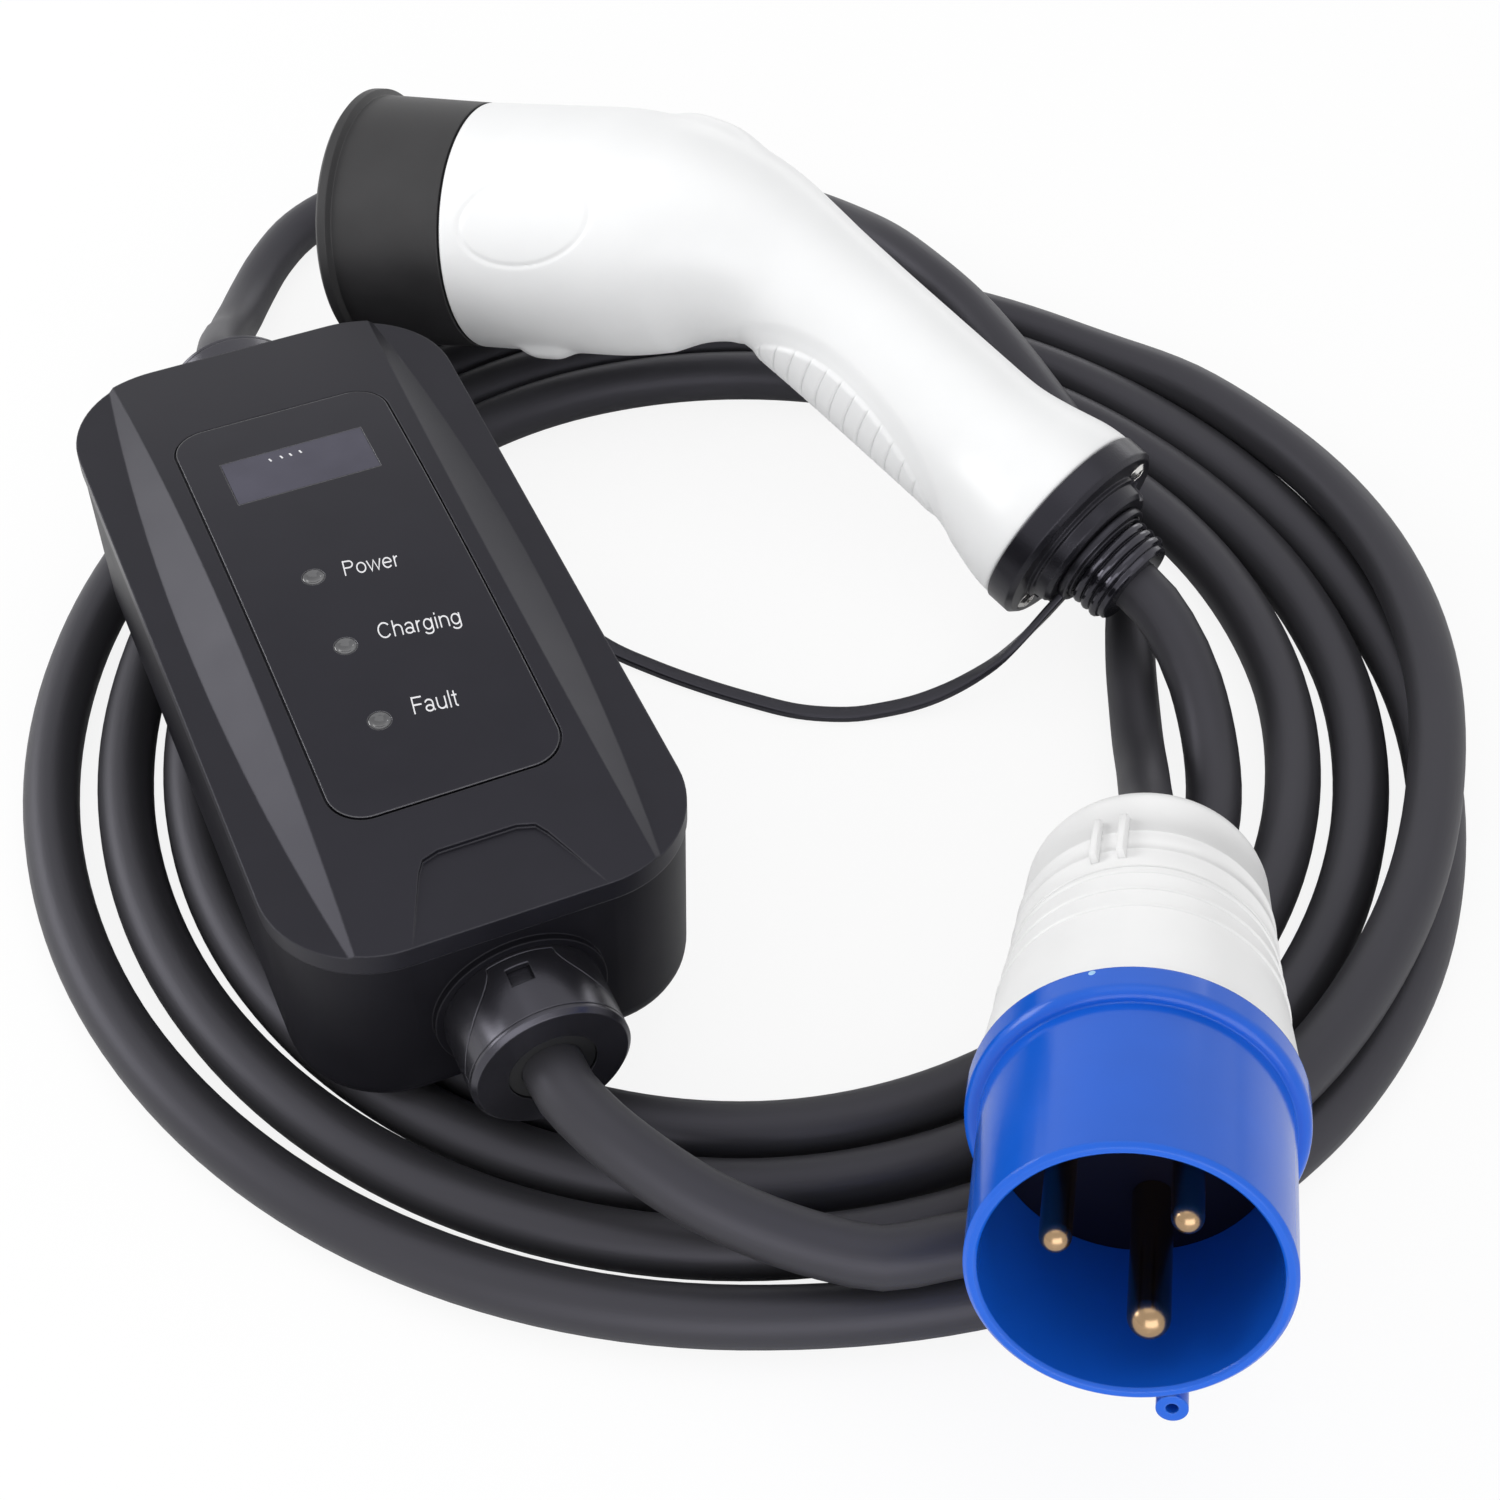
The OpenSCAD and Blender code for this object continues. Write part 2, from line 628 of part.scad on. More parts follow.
module contact_carrier() color("#202124") in_gun() difference() {
    union() {
        along_nose(carrier_back, nose_l + sleeve_l - 2) nose_outline(carrier_r);
        along_nose(carrier_back, carrier_back + 8) nose_outline(sleeve_r - sleeve_wall - fit);
    }
    for (c = concat(contact_rows, spare_rows)) translate([carrier_back - over, c[0][0], c[0][1]])
        rotate([0, 90, 0]) cylinder(r = c[1], h = sleeve_in + sleeve_l + 2 * over);
}

module contact_sleeves() color("#c8c5b8") in_gun() for (c = contact_rows) translate([0, c[0][0], c[0][1]])
    tube_x(carrier_back, nose_l + sleeve_l - 6, c[1] - fit / 2, c[1] - contact_t);

cap_gap = 0.3;
cap_in = sleeve_r + 0.4;
cap_l = 33.4;
cap_end = cap_l - sleeve_l - 0.6;
cap_flare = 1;
cap_rim = 2.6;
cap_rim_l = 3;

// Rubber cap on the nose with a rim round its closed end
module protective_cap() color(rubber_black) in_gun() translate([nose_l + cap_gap, 0, 0]) rotate([0, 90, 0])
    rotate_extrude() polygon([
        [cap_in, 0], [nose_r, 0], [nose_r + cap_flare, cap_l - cap_rim_l - 1],
        [nose_r + cap_rim, cap_l - cap_rim_l],
        [nose_r + cap_rim, cap_l - 0.8], [nose_r + cap_rim - 0.8, cap_l], [0, cap_l], [0, cap_l - cap_end],
        [cap_in, cap_l - cap_end]
    ]);

// End of the handle: D counts along the handle's axis from the shell's end
module at_end(d) in_gun() translate(spine(spine_l)) rotate([0, -90 - bend, 0])
    translate([0, 0, d]) children();
function along_end(d) = on_gun(spine(spine_l) + d * [-cos(bend), 0, -sin(bend)]);

cover_t = 7;
cover_in = 3;
cover_r = end_r + 0.4;
collar_r = 18;
collar_l = 5.4;
collar_lip = 1.2;
neck_r = 12.4;
neck_l = 2.8;
nut_x = cover_t + collar_l + neck_l;
gland_nut_l = 10;
gland_nut_r = 12.6;
cover_screw = 20.4;
cover_screw_r = 2.9;
screw_sink = 1.2;
notch_r = 4.4;
clamp_l = 7;

module rear_cover() color(rubber_black) at_end(0) difference() {
    spigot = end_r - shell_t - 10 * fit;
    rotate_extrude() polygon([
        [cable_d / 2 + fit, -cover_in], [spigot, -cover_in], [spigot, fit / 2], [cover_r, fit / 2],
        [cover_r, cover_t - 1.2], [cover_r - 1.2, cover_t], [collar_r + collar_lip, cover_t],
        [collar_r + collar_lip, cover_t + collar_lip], [collar_r, cover_t + collar_lip + 0.3],
        [collar_r - 0.4, cover_t + collar_l - 1], [collar_r - 1.4, cover_t + collar_l],
        [neck_r, cover_t + collar_l], [neck_r, nut_x], [cable_d / 2 + fit, nut_x]
    ]);
    for (s = [-1, 1]) translate([s * cover_screw, 0, cover_t]) {
        cylinder(r = notch_r, h = 2 * collar_l);
        translate([0, 0, -screw_sink]) cylinder(r = cover_screw_r + 2 * fit, h = 2 * screw_sink);
    }
}

module rear_cover_screws() color("#b9bcc0") for (s = [-1, 1])
    at_end(cover_t - screw_sink) translate([s * cover_screw, 0, 0]) difference() {
        rotate_extrude() polygon([
            [0, 0], [cover_screw_r, 0], [cover_screw_r, screw_sink],
            [cover_screw_r - 1, screw_sink + 0.9], [0, screw_sink + 1.2]
        ]);
        for (a = [0, 90]) rotate([0, 0, a]) translate([-1.7, -0.4, screw_sink]) cube([3.4, 0.8, 2]);
    }

// Nut with three rounded rings and a plain end
nut_rings = 3;
nut_ring_l = 2.6;
nut_groove = 1.3;
module handle_gland_nut() color(rubber_black) at_end(nut_x) rotate_extrude() polygon(concat(
    [[cable_d / 2 + fit, 0], [gland_nut_r - nut_groove, 0]],
    [for (i = [0 : nut_rings - 1], a = [0 : 30 : 180])
        [gland_nut_r - nut_groove + nut_groove * sin(a), 0.4 + (i + (1 - cos(a)) / 2) * nut_ring_l]],
    [[gland_nut_r - nut_groove, gland_nut_l - 0.6], [gland_nut_r - nut_groove - 0.6, gland_nut_l],
     [cable_d / 2 + fit, gland_nut_l]]
));

module handle_cable_clamp() color("#3f4145") at_end(-cover_in) translate([0, 0, -clamp_l])
    tube_z(0, clamp_l, cable_d / 2 + 5, cable_d / 2 + fit);

// Flat strap from a ring on the connector's neck to the cap's rim
strap_w = 4;
strap_t = 2;
strap_ring_t = 2.2;
strap_ring_w = 1.8;
strap_turn = 6;
strap_out = on_gun([sin(bend) * cos(strap_turn), sin(strap_turn), -cos(bend) * cos(strap_turn)]) - gun_place;
strap_across = on_gun([-sin(bend) * sin(strap_turn), cos(strap_turn), cos(bend) * sin(strap_turn)])
    - gun_place;
strap_root = along_end(cover_t + collar_l + fit + strap_ring_t / 2);
strap_end = on_gun([nose_l + cap_gap + cap_l - cap_rim_l / 2, 0, -nose_r - cap_rim - strap_t / 2 - 1.7]);
strap_route = concat(
    [for (d = [1, 5, 10]) strap_root + (neck_r + d) * strap_out],
    [
        [66, 24.4, 12.4], [60, 20.8, 8.6], [51, 16.8, 5], [42, 13.8, 2.8], [33, 12, 1.6], [24, 11, 1],
        [12, 12, 1], [0, 16, 1], [-12, 21, 1], [-24, 27, 1], [-36, 34, 1.4], [-47, 44, 2.4],
        [-56, 57, 4.4], [-64, 71, 7.4], [-72, 86, 11.4], [-80, 99, 15], [-87, 110, 17.2], [-95, 121, 18.4]
    ],
    [strap_end]
);
strap_shape = [
    [strap_w / 2, -strap_t / 2], [strap_w / 2, strap_t / 2],
    [-strap_w / 2, strap_t / 2], [-strap_w / 2, -strap_t / 2]
];

// The strap leaves its ring edge on and turns flat within a few points
strap_flat = 5;
function strap_side(i) =
    let (t = heading(strap_route, i), w = min(max(i - 1, 0) / strap_flat, 1),
         a = (1 - w) * strap_across + w * unit(cross([0, 0, 1], t)))
    unit(a - (a * t) * t);

module cap_strap() color(rubber_black) {
    at_end(cover_t + collar_l + fit) tube_z(0, strap_ring_t, neck_r + strap_ring_w, neck_r + fit);
    in_layout() sweep(strap_route, strap_shape, [for (i = [0 : len(strap_route) - 1]) strap_side(i)]);
}

// Plug: Z points out of the mouth, the flange starts at zero and the earth pin lies towards minus Y
flange_t = 7.5;
flange_edge = 2.2;
shroud_wall = 2.5;
shroud_in = shroud_r - shroud_wall;
mouth = flange_t + shroud_l;
carrier_face = 10;
carrier_bottom = -14;
key_r = 3;
key_hole = 1.2;
key_y = shroud_r + key_r - 0.6;
body_wall = 3;
nut_wall = 3;
seal_l = 9;
pin_step = 0.5;
lug_turn = 25;
lug_gap = 5.6;
lug_t = 1.5;
lug_l = 11;
lug_at = 15.5;
lug_rise = 1.6;
lug_root = 2.2;
nut_round = 7;
nut_lip = 0.7;

module plug_shroud() color(plug_blue) in_plug() difference() {
    union() {
        rotate_extrude() polygon([
            [shroud_in, 0], [flange_r, 0],
            each [for (a = [0 : 15 : 90])
                [flange_r - flange_edge * (1 - cos(a)), flange_t - flange_edge * (1 - sin(a))]],
            [shroud_r + 0.4, flange_t], [shroud_r, mouth - 0.8], [shroud_r - 0.8, mouth],
            [shroud_in + 0.6, mouth], [shroud_in, mouth - 0.6]
        ]);
        translate([0, -key_y, flange_t]) cylinder(r = key_r, h = shroud_l);
    }
    translate([0, -key_y, mouth - 12]) cylinder(r = key_hole, h = 12 + over);
}

function pin_at(a) = pin_circle * [sin(a), -cos(a), 0];

module plug_carrier() color("#1d2340") in_plug() difference() {
    translate([0, 0, carrier_bottom]) cylinder(r = shroud_in - fit, h = carrier_face - carrier_bottom);
    for (a = [-120, 0, 120]) translate(pin_at(a) + [0, 0, carrier_bottom - over])
        cylinder(r = (a == 0 ? earth_r : pin_r) - pin_step + fit / 2,
                 h = carrier_face - carrier_bottom + 2 * over);
}

// Brass pin with a round tip; its root in the carrier is a little thinner
module pin(a, r, tip) color(brass) in_plug() translate(pin_at(a)) rotate_extrude() {
    translate([0, carrier_bottom]) square([r - pin_step, carrier_face - carrier_bottom]);
    translate([0, carrier_face + fit / 2]) square([r, tip - r - carrier_face - fit / 2]);
    translate([0, carrier_face]) square([r - pin_step, 1]);
    intersection() {
        translate([0, tip - r]) circle(r);
        translate([0, tip - r]) square(r);
    }
}

module line_pin() pin(-120, pin_r, mouth - 2.4);
module neutral_pin() pin(120, pin_r, mouth - 2.4);
module earth_pin() pin(0, earth_r, mouth - 0.6);

body_end_r = (flange_r - 0.8) - (flange_r - 0.8 - nut_r) * body_l / (body_l + nut_l);

module plug_body() color(shell_white) in_plug() rotate_extrude() polygon([
    [shroud_in, 0], [flange_r - 0.8, 0], [body_end_r, -body_l], [body_end_r - body_wall, -body_l],
    [shroud_in, carrier_bottom - 2]
]);

// Clamping nut with grip rings and two lugs
function nut_radius(z) = body_end_r + (nut_r - body_end_r) * (-body_l - z) / nut_l;

module plug_rear_nut() color(shell_white) in_plug() {
    step = 0.5;
    top_r = body_end_r;
    back = -body_l - nut_l;
    round_r = nut_radius(back + nut_round) - nut_round;
    rotate_extrude() polygon(concat(
        [[top_r - nut_wall, -body_l - fit], [top_r + nut_lip, -body_l - fit], [top_r + nut_lip, -body_l - 2]],
        [for (i = [0 : 3]) let (z = -body_l - 6 - i * 6) each [
            [nut_radius(z), z], [nut_radius(z) - step, z - 0.5],
            [nut_radius(z) - step, z - 1.5], [nut_radius(z), z - 2]
        ]],
        [for (a = [15 : 15 : 90]) [round_r + nut_round * cos(a), back + nut_round - nut_round * sin(a)]],
        [[supply_d / 2 + fit, back], [supply_d / 2 + fit, back + 1.5],
         [supply_d / 2 + 3.6, back + 1.5], [supply_d / 2 + 3.6, back + seal_l + 1.5],
         [nut_r - nut_wall - 4, back + seal_l + 1.5],
         [nut_radius(back + seal_l + 8) - nut_wall, back + seal_l + 8]]
    ));
    lug_foot = nut_radius(back + lug_at + lug_l) - lug_root;
    rotate([0, 0, lug_turn - plug_roll]) for (side = [-1, 1])
        translate([side * lug_gap / 2 - lug_t / 2, lug_foot, back + lug_at])
            cube([lug_t, lug_root + lug_rise, lug_l]);
}

module plug_cable_seal() color(rubber_black) in_plug()
    tube_z(-body_l - nut_l + 1.5 + fit, -body_l - nut_l + seal_l + 1.4,
           supply_d / 2 + 3.5, supply_d / 2 + fit / 2);

module plug_cord_clamp() color("#d9d9d6") in_plug()
    tube_z(carrier_bottom - 9, carrier_bottom, supply_d / 2 + 9, supply_d / 2 + fit);

// Cords: the first and last points follow the pieces, the others are chosen by eye
cord_sides = 10;
supply_route = concat(
    [for (d = [-6, 10, gland_l + 2]) on_box([0, boss_face + d, gland_z])],
    [
        [-135.5, 97, 37.2], [-138, 105, 35], [-140, 113, 31], [-141.5, 122, 26], [-142.5, 131, 21],
        [-143, 139, 16], [-143.5, 148, 12], [-143, 158, 9], [-142, 169, 7], [-138.5, 185, 6.4],
        [-132, 200, 6.4], [-121, 212, 6.4], [-105, 220, 6.4], [-85, 225, 6.4], [-60, 228, 6.4],
        [-35, 228, 6.4], [-14, 224, 6.4], [2, 218, 6.4],
        [15, 209, 8], [27, 196, 12], [39, 178, 18], [50, 161, 20.4], [60, 146, 20.4], [69, 128, 20.4],
        [77, 110, 20], [83, 97, 18.4], [87.5, 86, 14.4], [91.5, 76, 10.4], [94.5, 66, 7.6], [96, 55, 6.6],
        [96.5, 45, 6.4], [95.5, 35, 6.4], [94.5, 22, 6.4], [94, 8, 6.6], [93.5, -5, 8], [93, -17, 11.6],
        [92, -28, 16.6], [91, -39, 22.4]
    ],
    [for (d = [24, 12, 0, -10]) on_plug(-body_l - nut_l - d)]
);
lead_route = concat(
    [for (d = [-6, 10, gland_l + 2]) on_box([0, -boss_face - d, gland_z])],
    [
        [-37, -128, 37.2], [-30, -135, 35], [-20, -141.5, 31], [-9, -147, 27], [3, -151, 23.4],
        [15, -154, 21], [27, -156, 20.4]
    ]
);
tail_route = concat(
    [for (d = [-8, 8, nut_x + gland_nut_l - 2, nut_x + gland_nut_l + 1]) along_end(d)],
    [
        [99, 26, 24], [102.4, 21, 21.4], [105.4, 15.4, 18.4], [108, 8.8, 14.8], [109.8, 1, 11.1],
        [110.7, -8, 8.2], [110.4, -18, 7], [108.9, -28, 6.8], [106.2, -38, 6.8], [102.2, -48, 6.8],
        [97, -56, 6.8]
    ]
);

module cord(route, d) sweep(route, circle_points(d / 2, cord_sides), level_sides(route));
module supply_cord() color(rubber_black) in_layout() cord(supply_route, supply_d);
module ev_cable_lead() color(rubber_black) in_layout() cord(lead_route, cable_d);
module ev_cable_tail() color(rubber_black) in_layout() cord(tail_route, cable_d);

// Outer shape of the turns that lie side by side on the floor
module ev_cable_coil() color(rubber_black) in_layout() translate(coil_place) rotate_extrude($fn = 96)
    union() {
        for (i = [0 : coil_turns - 1]) translate([coil_r + i * coil_pitch, cable_d / 2]) circle(cable_d / 2);
        translate([coil_r, cable_d / 4]) square([(coil_turns - 1) * coil_pitch, cable_d / 2]);
    }

box_base();
box_lid();
lid_seal();
front_panel();
display_window();
indicator_lenses();
circuit_board();
power_relays();
leakage_sensor();
supply_module();
capacitors();
lid_screws();
supply_gland();
supply_gland_clip();
supply_gland_seal();
outlet_gland();
outlet_gland_clip();
outlet_gland_seal();
handle_shell();
nose_sleeve();
contact_carrier();
contact_sleeves();
protective_cap();
cap_strap();
rear_cover();
rear_cover_screws();
handle_gland_nut();
handle_cable_clamp();
plug_shroud();
plug_carrier();
line_pin();
neutral_pin();
earth_pin();
plug_body();
plug_rear_nut();
plug_cable_seal();
plug_cord_clamp();
supply_cord();
ev_cable_lead();
ev_cable_coil();
ev_cable_tail();
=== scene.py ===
"""Portable EV charger: control box, coiled cable with vehicle connector, supply cord with plug."""
import math

import bmesh
import bpy
import numpy as np
from mathutils import Euler, Matrix, Vector


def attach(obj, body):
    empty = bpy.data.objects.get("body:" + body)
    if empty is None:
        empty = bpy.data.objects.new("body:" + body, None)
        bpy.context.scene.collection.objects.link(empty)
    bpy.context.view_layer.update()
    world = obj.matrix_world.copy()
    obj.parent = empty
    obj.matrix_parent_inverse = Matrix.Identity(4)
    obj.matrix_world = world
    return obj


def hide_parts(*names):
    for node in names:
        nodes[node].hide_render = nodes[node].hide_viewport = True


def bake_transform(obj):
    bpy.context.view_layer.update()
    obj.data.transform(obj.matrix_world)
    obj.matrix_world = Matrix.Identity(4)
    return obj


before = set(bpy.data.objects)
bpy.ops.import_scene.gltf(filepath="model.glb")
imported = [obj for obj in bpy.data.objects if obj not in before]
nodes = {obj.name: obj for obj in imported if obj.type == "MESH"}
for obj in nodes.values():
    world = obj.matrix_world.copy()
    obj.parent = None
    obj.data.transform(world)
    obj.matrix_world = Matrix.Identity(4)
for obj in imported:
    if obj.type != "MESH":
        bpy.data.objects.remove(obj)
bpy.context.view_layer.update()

MM = 0.001
LAYOUT_CENTRE = (-28.89, 27.23)


def spot(x, y, z):
    """A point of the layout, in millimetres, as a point of the part's frame, in metres."""
    return Vector(((x - LAYOUT_CENTRE[0]) * MM, (y - LAYOUT_CENTRE[1]) * MM, z * MM))


def stand(place, turn, roll=0.0):
    """The matrix that takes a group's own millimetres to the part's frame."""
    angles = Euler([math.radians(a) for a in turn], "XYZ").to_matrix().to_4x4()
    own = Matrix.Rotation(math.radians(roll), 4, "Z")
    return Matrix.Translation(spot(*place)) @ angles @ own @ Matrix.Scale(MM, 4)


BOX = stand((-86.4, -15.4, 13.6), (0, 0, 23.5))
GUN = stand((-0.7, 119.3, 64), (45.3, 9.2, 162.8))
PLUG = stand((74, -147.6, 60.5), (73.5, 0, -9), 20.5)

# Camera: a long lens above the near edge, as the photograph was taken.
CAMERA_AT = spot(0, -445, 487.4)
CAMERA_AIM = spot(0, 0, 0)
camera_data = bpy.data.cameras.new("camera")
camera_data.lens = 64.8
camera_data.sensor_width = 36
camera = bpy.data.objects.new("camera", camera_data)
camera.location = CAMERA_AT
camera.rotation_euler = (CAMERA_AIM - CAMERA_AT).to_track_quat("-Z", "Y").to_euler()
bpy.context.scene.collection.objects.link(camera)
bpy.context.scene.camera = camera
bpy.context.scene.view_settings.view_transform = "Standard"


# Meshes

SHARP = math.radians(40)


def piece_of(name, verts, faces, material, smooth=True, uv=None):
    """A mesh object in the part's frame, with an optional (u, v) for each vertex."""
    mesh = bpy.data.meshes.new(name)
    mesh.from_pydata([tuple(v) for v in verts], [], faces)
    if uv is not None:
        layer = mesh.uv_layers.new(name="along")
        for loop in mesh.loops:
            layer.data[loop.index].uv = uv[loop.vertex_index]
    shaped = bmesh.new()
    shaped.from_mesh(mesh)
    bmesh.ops.recalc_face_normals(shaped, faces=shaped.faces)
    shaped.to_mesh(mesh)
    shaped.free()
    mesh.polygons.foreach_set("use_smooth", [smooth] * len(mesh.polygons))
    if smooth:
        mesh.set_sharp_from_angle(angle=SHARP)
    mesh.materials.append(material)
    mesh.update()
    made = bpy.data.objects.new(name, mesh)
    bpy.context.scene.collection.objects.link(made)
    return made


def grid_faces(rows, columns, closed_rows=False):
    """Quads of a grid whose columns close on themselves, and whose rows may."""
    faces = []
    for i in range(rows if closed_rows else rows - 1):
        for j in range(columns):
            a = i * columns + j
            b = i * columns + (j + 1) % columns
            c = ((i + 1) % rows) * columns + (j + 1) % columns
            d = ((i + 1) % rows) * columns + j
            faces.append((a, b, c, d))
    return faces


def smooth_path(points, step):
    """Points about a step apart on one smooth curve through the given ones."""
    p = np.array([tuple(q) for q in points], float)
    p = np.vstack([2 * p[0] - p[1], p, 2 * p[-1] - p[-2]])
    out = []
    for i in range(1, len(p) - 2):
        count = max(int(np.linalg.norm(p[i + 1] - p[i]) / step), 1)
        for t in np.linspace(0, 1, count, endpoint=False):
            a = 2 * p[i]
            b = p[i + 1] - p[i - 1]
            c = 2 * p[i - 1] - 5 * p[i] + 4 * p[i + 1] - p[i + 2]
            d = 3 * p[i] - p[i - 1] - 3 * p[i + 1] + p[i + 2]
            out.append((a + b * t + c * t * t + d * t ** 3) / 2)
    out.append(p[-2])
    return np.array(out)


def tube(name, path, radius, material, sides=20):
    """A round tube along the path, with its ends closed."""
    tangent = np.gradient(path, axis=0)
    tangent /= np.linalg.norm(tangent, axis=1)[:, None]
    side = np.cross(tangent[0], (0, 0, 1.0))
    run = np.concatenate([[0], np.cumsum(np.linalg.norm(np.diff(path, axis=0), axis=1))])
    verts, uv = [], []
    for point, ahead, along in zip(path, tangent, run):
        side = side - ahead * side.dot(ahead)
        side = side / np.linalg.norm(side)
        over = np.cross(ahead, side)
        for j in range(sides):
            angle = 2 * math.pi * j / sides
            verts.append(point + radius * (math.cos(angle) * side + math.sin(angle) * over))
            uv.append((along, j / sides))
    faces = grid_faces(len(path), sides)
    faces.append(tuple(range(sides)))
    faces.append(tuple(len(verts) - 1 - j for j in range(sides)))
    return piece_of(name, verts, faces, material, uv=uv)


def turned_mesh(profile, where, turns):
    """Points and faces of a closed profile of (radius, height) turned about its own z axis."""
    verts = []
    for r, z in profile:
        for j in range(turns):
            angle = 2 * math.pi * j / turns
            verts.append(where @ Vector((r * math.cos(angle), r * math.sin(angle), z)))
    return verts, grid_faces(len(profile), turns, True)


def lathe(name, profile, where, material, turns=96):
    return piece_of(name, *turned_mesh(profile, where, turns), material)


def rounded(profile, radius, steps=5):
    """A closed profile with its corners rounded, as far as its short sides allow."""
    out = []
    n = len(profile)
    for i in range(n):
        before = np.array(profile[i - 1], float)
        here = np.array(profile[i], float)
        after = np.array(profile[(i + 1) % n], float)
        back = before - here
        on = after - here
        cut = min(radius, 0.45 * np.linalg.norm(back), 0.45 * np.linalg.norm(on))
        a = here + back / np.linalg.norm(back) * cut
        b = here + on / np.linalg.norm(on) * cut
        for t in np.linspace(0, 1, steps):
            out.append(tuple((1 - t) ** 2 * a + 2 * t * (1 - t) * here + t * t * b))
    return out


# Materials


COAT_ROUGH = 0.12
BUMP_STRENGTH = 0.6
# Scale of the mottling against the grain, and of both along and round a drawn cable.
CLOUD_RATIO = 0.03
STREAK_SCALE = (0.06, 1.0 / 60, 1)
BEVEL_SAMPLES = 6
# Where an edge is round enough to be paled a little and fully, and how much paler it is there: partly
# wear, partly a painted highlight along the edges.
WEAR_HIGHLIGHT_START, WEAR_HIGHLIGHT_FULL, WEAR_HIGHLIGHT_GAIN = 0.99, 0.86, 2.2


def material_of(name, colour, rough, grain=2500, depth=0.02, vary=0.10, coat=0.0, metal=0.0,
                edge=0.0, wear_and_highlight=0.0, streak=False, specular=0.5, uneven=0.04,
                sheen=(1, 1, 1), wear_highlight_lift=0.03):
    """A moulded or drawn surface: mottled colour, uneven gloss, fine grain, and edges painted paler,
    partly as wear and partly as a painted highlight.
    """
    made = bpy.data.materials.new(name)
    made.use_nodes = True
    tree = made.node_tree
    shader = tree.nodes["Principled BSDF"]
    shader.inputs["Metallic"].default_value = metal
    shader.inputs["Coat Weight"].default_value = coat
    shader.inputs["Coat Roughness"].default_value = COAT_ROUGH
    shader.inputs["Specular IOR Level"].default_value = specular
    shader.inputs["Specular Tint"].default_value = sheen + (1,)
    place = tree.nodes.new("ShaderNodeTexCoord")
    space = place.outputs["UV" if streak else "Object"]
    if streak:
        stretch = tree.nodes.new("ShaderNodeMapping")
        stretch.inputs["Scale"].default_value = STREAK_SCALE
        tree.links.new(space, stretch.inputs["Vector"])
        space = stretch.outputs["Vector"]
    cloud = tree.nodes.new("ShaderNodeTexNoise")
    cloud.inputs["Scale"].default_value = grain * CLOUD_RATIO
    cloud.inputs["Detail"].default_value = 5
    tree.links.new(space, cloud.inputs["Vector"])
    tone = tree.nodes.new("ShaderNodeValToRGB")
    tone.color_ramp.elements[0].position = 0.3
    tone.color_ramp.elements[1].position = 0.7
    tone.color_ramp.elements[0].color = [c * (1 - vary) for c in colour] + [1]
    tone.color_ramp.elements[1].color = [min(c * (1 + vary), 1) for c in colour] + [1]
    tree.links.new(cloud.outputs["Fac"], tone.inputs["Fac"])
    gloss = tree.nodes.new("ShaderNodeMapRange")
    gloss.inputs["To Min"].default_value = max(rough - uneven, 0.02)
    gloss.inputs["To Max"].default_value = min(rough + uneven, 1)
    tree.links.new(cloud.outputs["Fac"], gloss.inputs["Value"])
    tree.links.new(gloss.outputs["Result"], shader.inputs["Roughness"])
    fine = tree.nodes.new("ShaderNodeTexNoise")
    fine.inputs["Scale"].default_value = grain
    fine.inputs["Detail"].default_value = 2
    tree.links.new(space, fine.inputs["Vector"])
    bump = tree.nodes.new("ShaderNodeBump")
    bump.inputs["Strength"].default_value = BUMP_STRENGTH
    bump.inputs["Distance"].default_value = depth * MM
    tree.links.new(fine.outputs["Fac"], bump.inputs["Height"])
    tree.links.new(bump.outputs["Normal"], shader.inputs["Normal"])
    paint = tone.outputs["Color"]
    if edge:
        bevel = tree.nodes.new("ShaderNodeBevel")
        bevel.samples = BEVEL_SAMPLES
        bevel.inputs["Radius"].default_value = edge * MM
        tree.links.new(bevel.outputs["Normal"], bump.inputs["Normal"])
    # Edges are painted paler here: partly wear, partly a painted highlight standing in for the light
    # that rounded edges catch.
    if edge and wear_and_highlight:
        shape = tree.nodes.new("ShaderNodeNewGeometry")
        turn = tree.nodes.new("ShaderNodeVectorMath")
        turn.operation = "DOT_PRODUCT"
        tree.links.new(bevel.outputs["Normal"], turn.inputs[0])
        tree.links.new(shape.outputs["Normal"], turn.inputs[1])
        worn_and_lit = tree.nodes.new("ShaderNodeMapRange")
        worn_and_lit.inputs["From Min"].default_value = WEAR_HIGHLIGHT_START
        worn_and_lit.inputs["From Max"].default_value = WEAR_HIGHLIGHT_FULL
        worn_and_lit.inputs["To Max"].default_value = wear_and_highlight
        tree.links.new(turn.outputs["Value"], worn_and_lit.inputs["Value"])
        mixed = tree.nodes.new("ShaderNodeMixRGB")
        pale = [min(c * WEAR_HIGHLIGHT_GAIN + wear_highlight_lift, 1) for c in colour]
        mixed.inputs["Color2"].default_value = pale + [1]
        tree.links.new(worn_and_lit.outputs["Result"], mixed.inputs["Fac"])
        tree.links.new(paint, mixed.inputs["Color1"])
        paint = mixed.outputs["Color"]
    tree.links.new(paint, shader.inputs["Base Color"])
    return made


# The dark plastics' sheen is slightly violet.
VIOLET = (0.86, 0.84, 1.0)
# The lid's paler edges are partly wear, partly a painted highlight along its rims.
charcoal = material_of("charcoal_plastic", (0.0080, 0.0078, 0.0105), 0.36, edge=0.6, wear_and_highlight=0.6,
                       specular=0.29, sheen=VIOLET, wear_highlight_lift=0.05)
gland_black = material_of("gland_black", (0.011, 0.0108, 0.0130), 0.23, edge=0.5, wear_and_highlight=0.5,
                          specular=0.72, sheen=VIOLET)
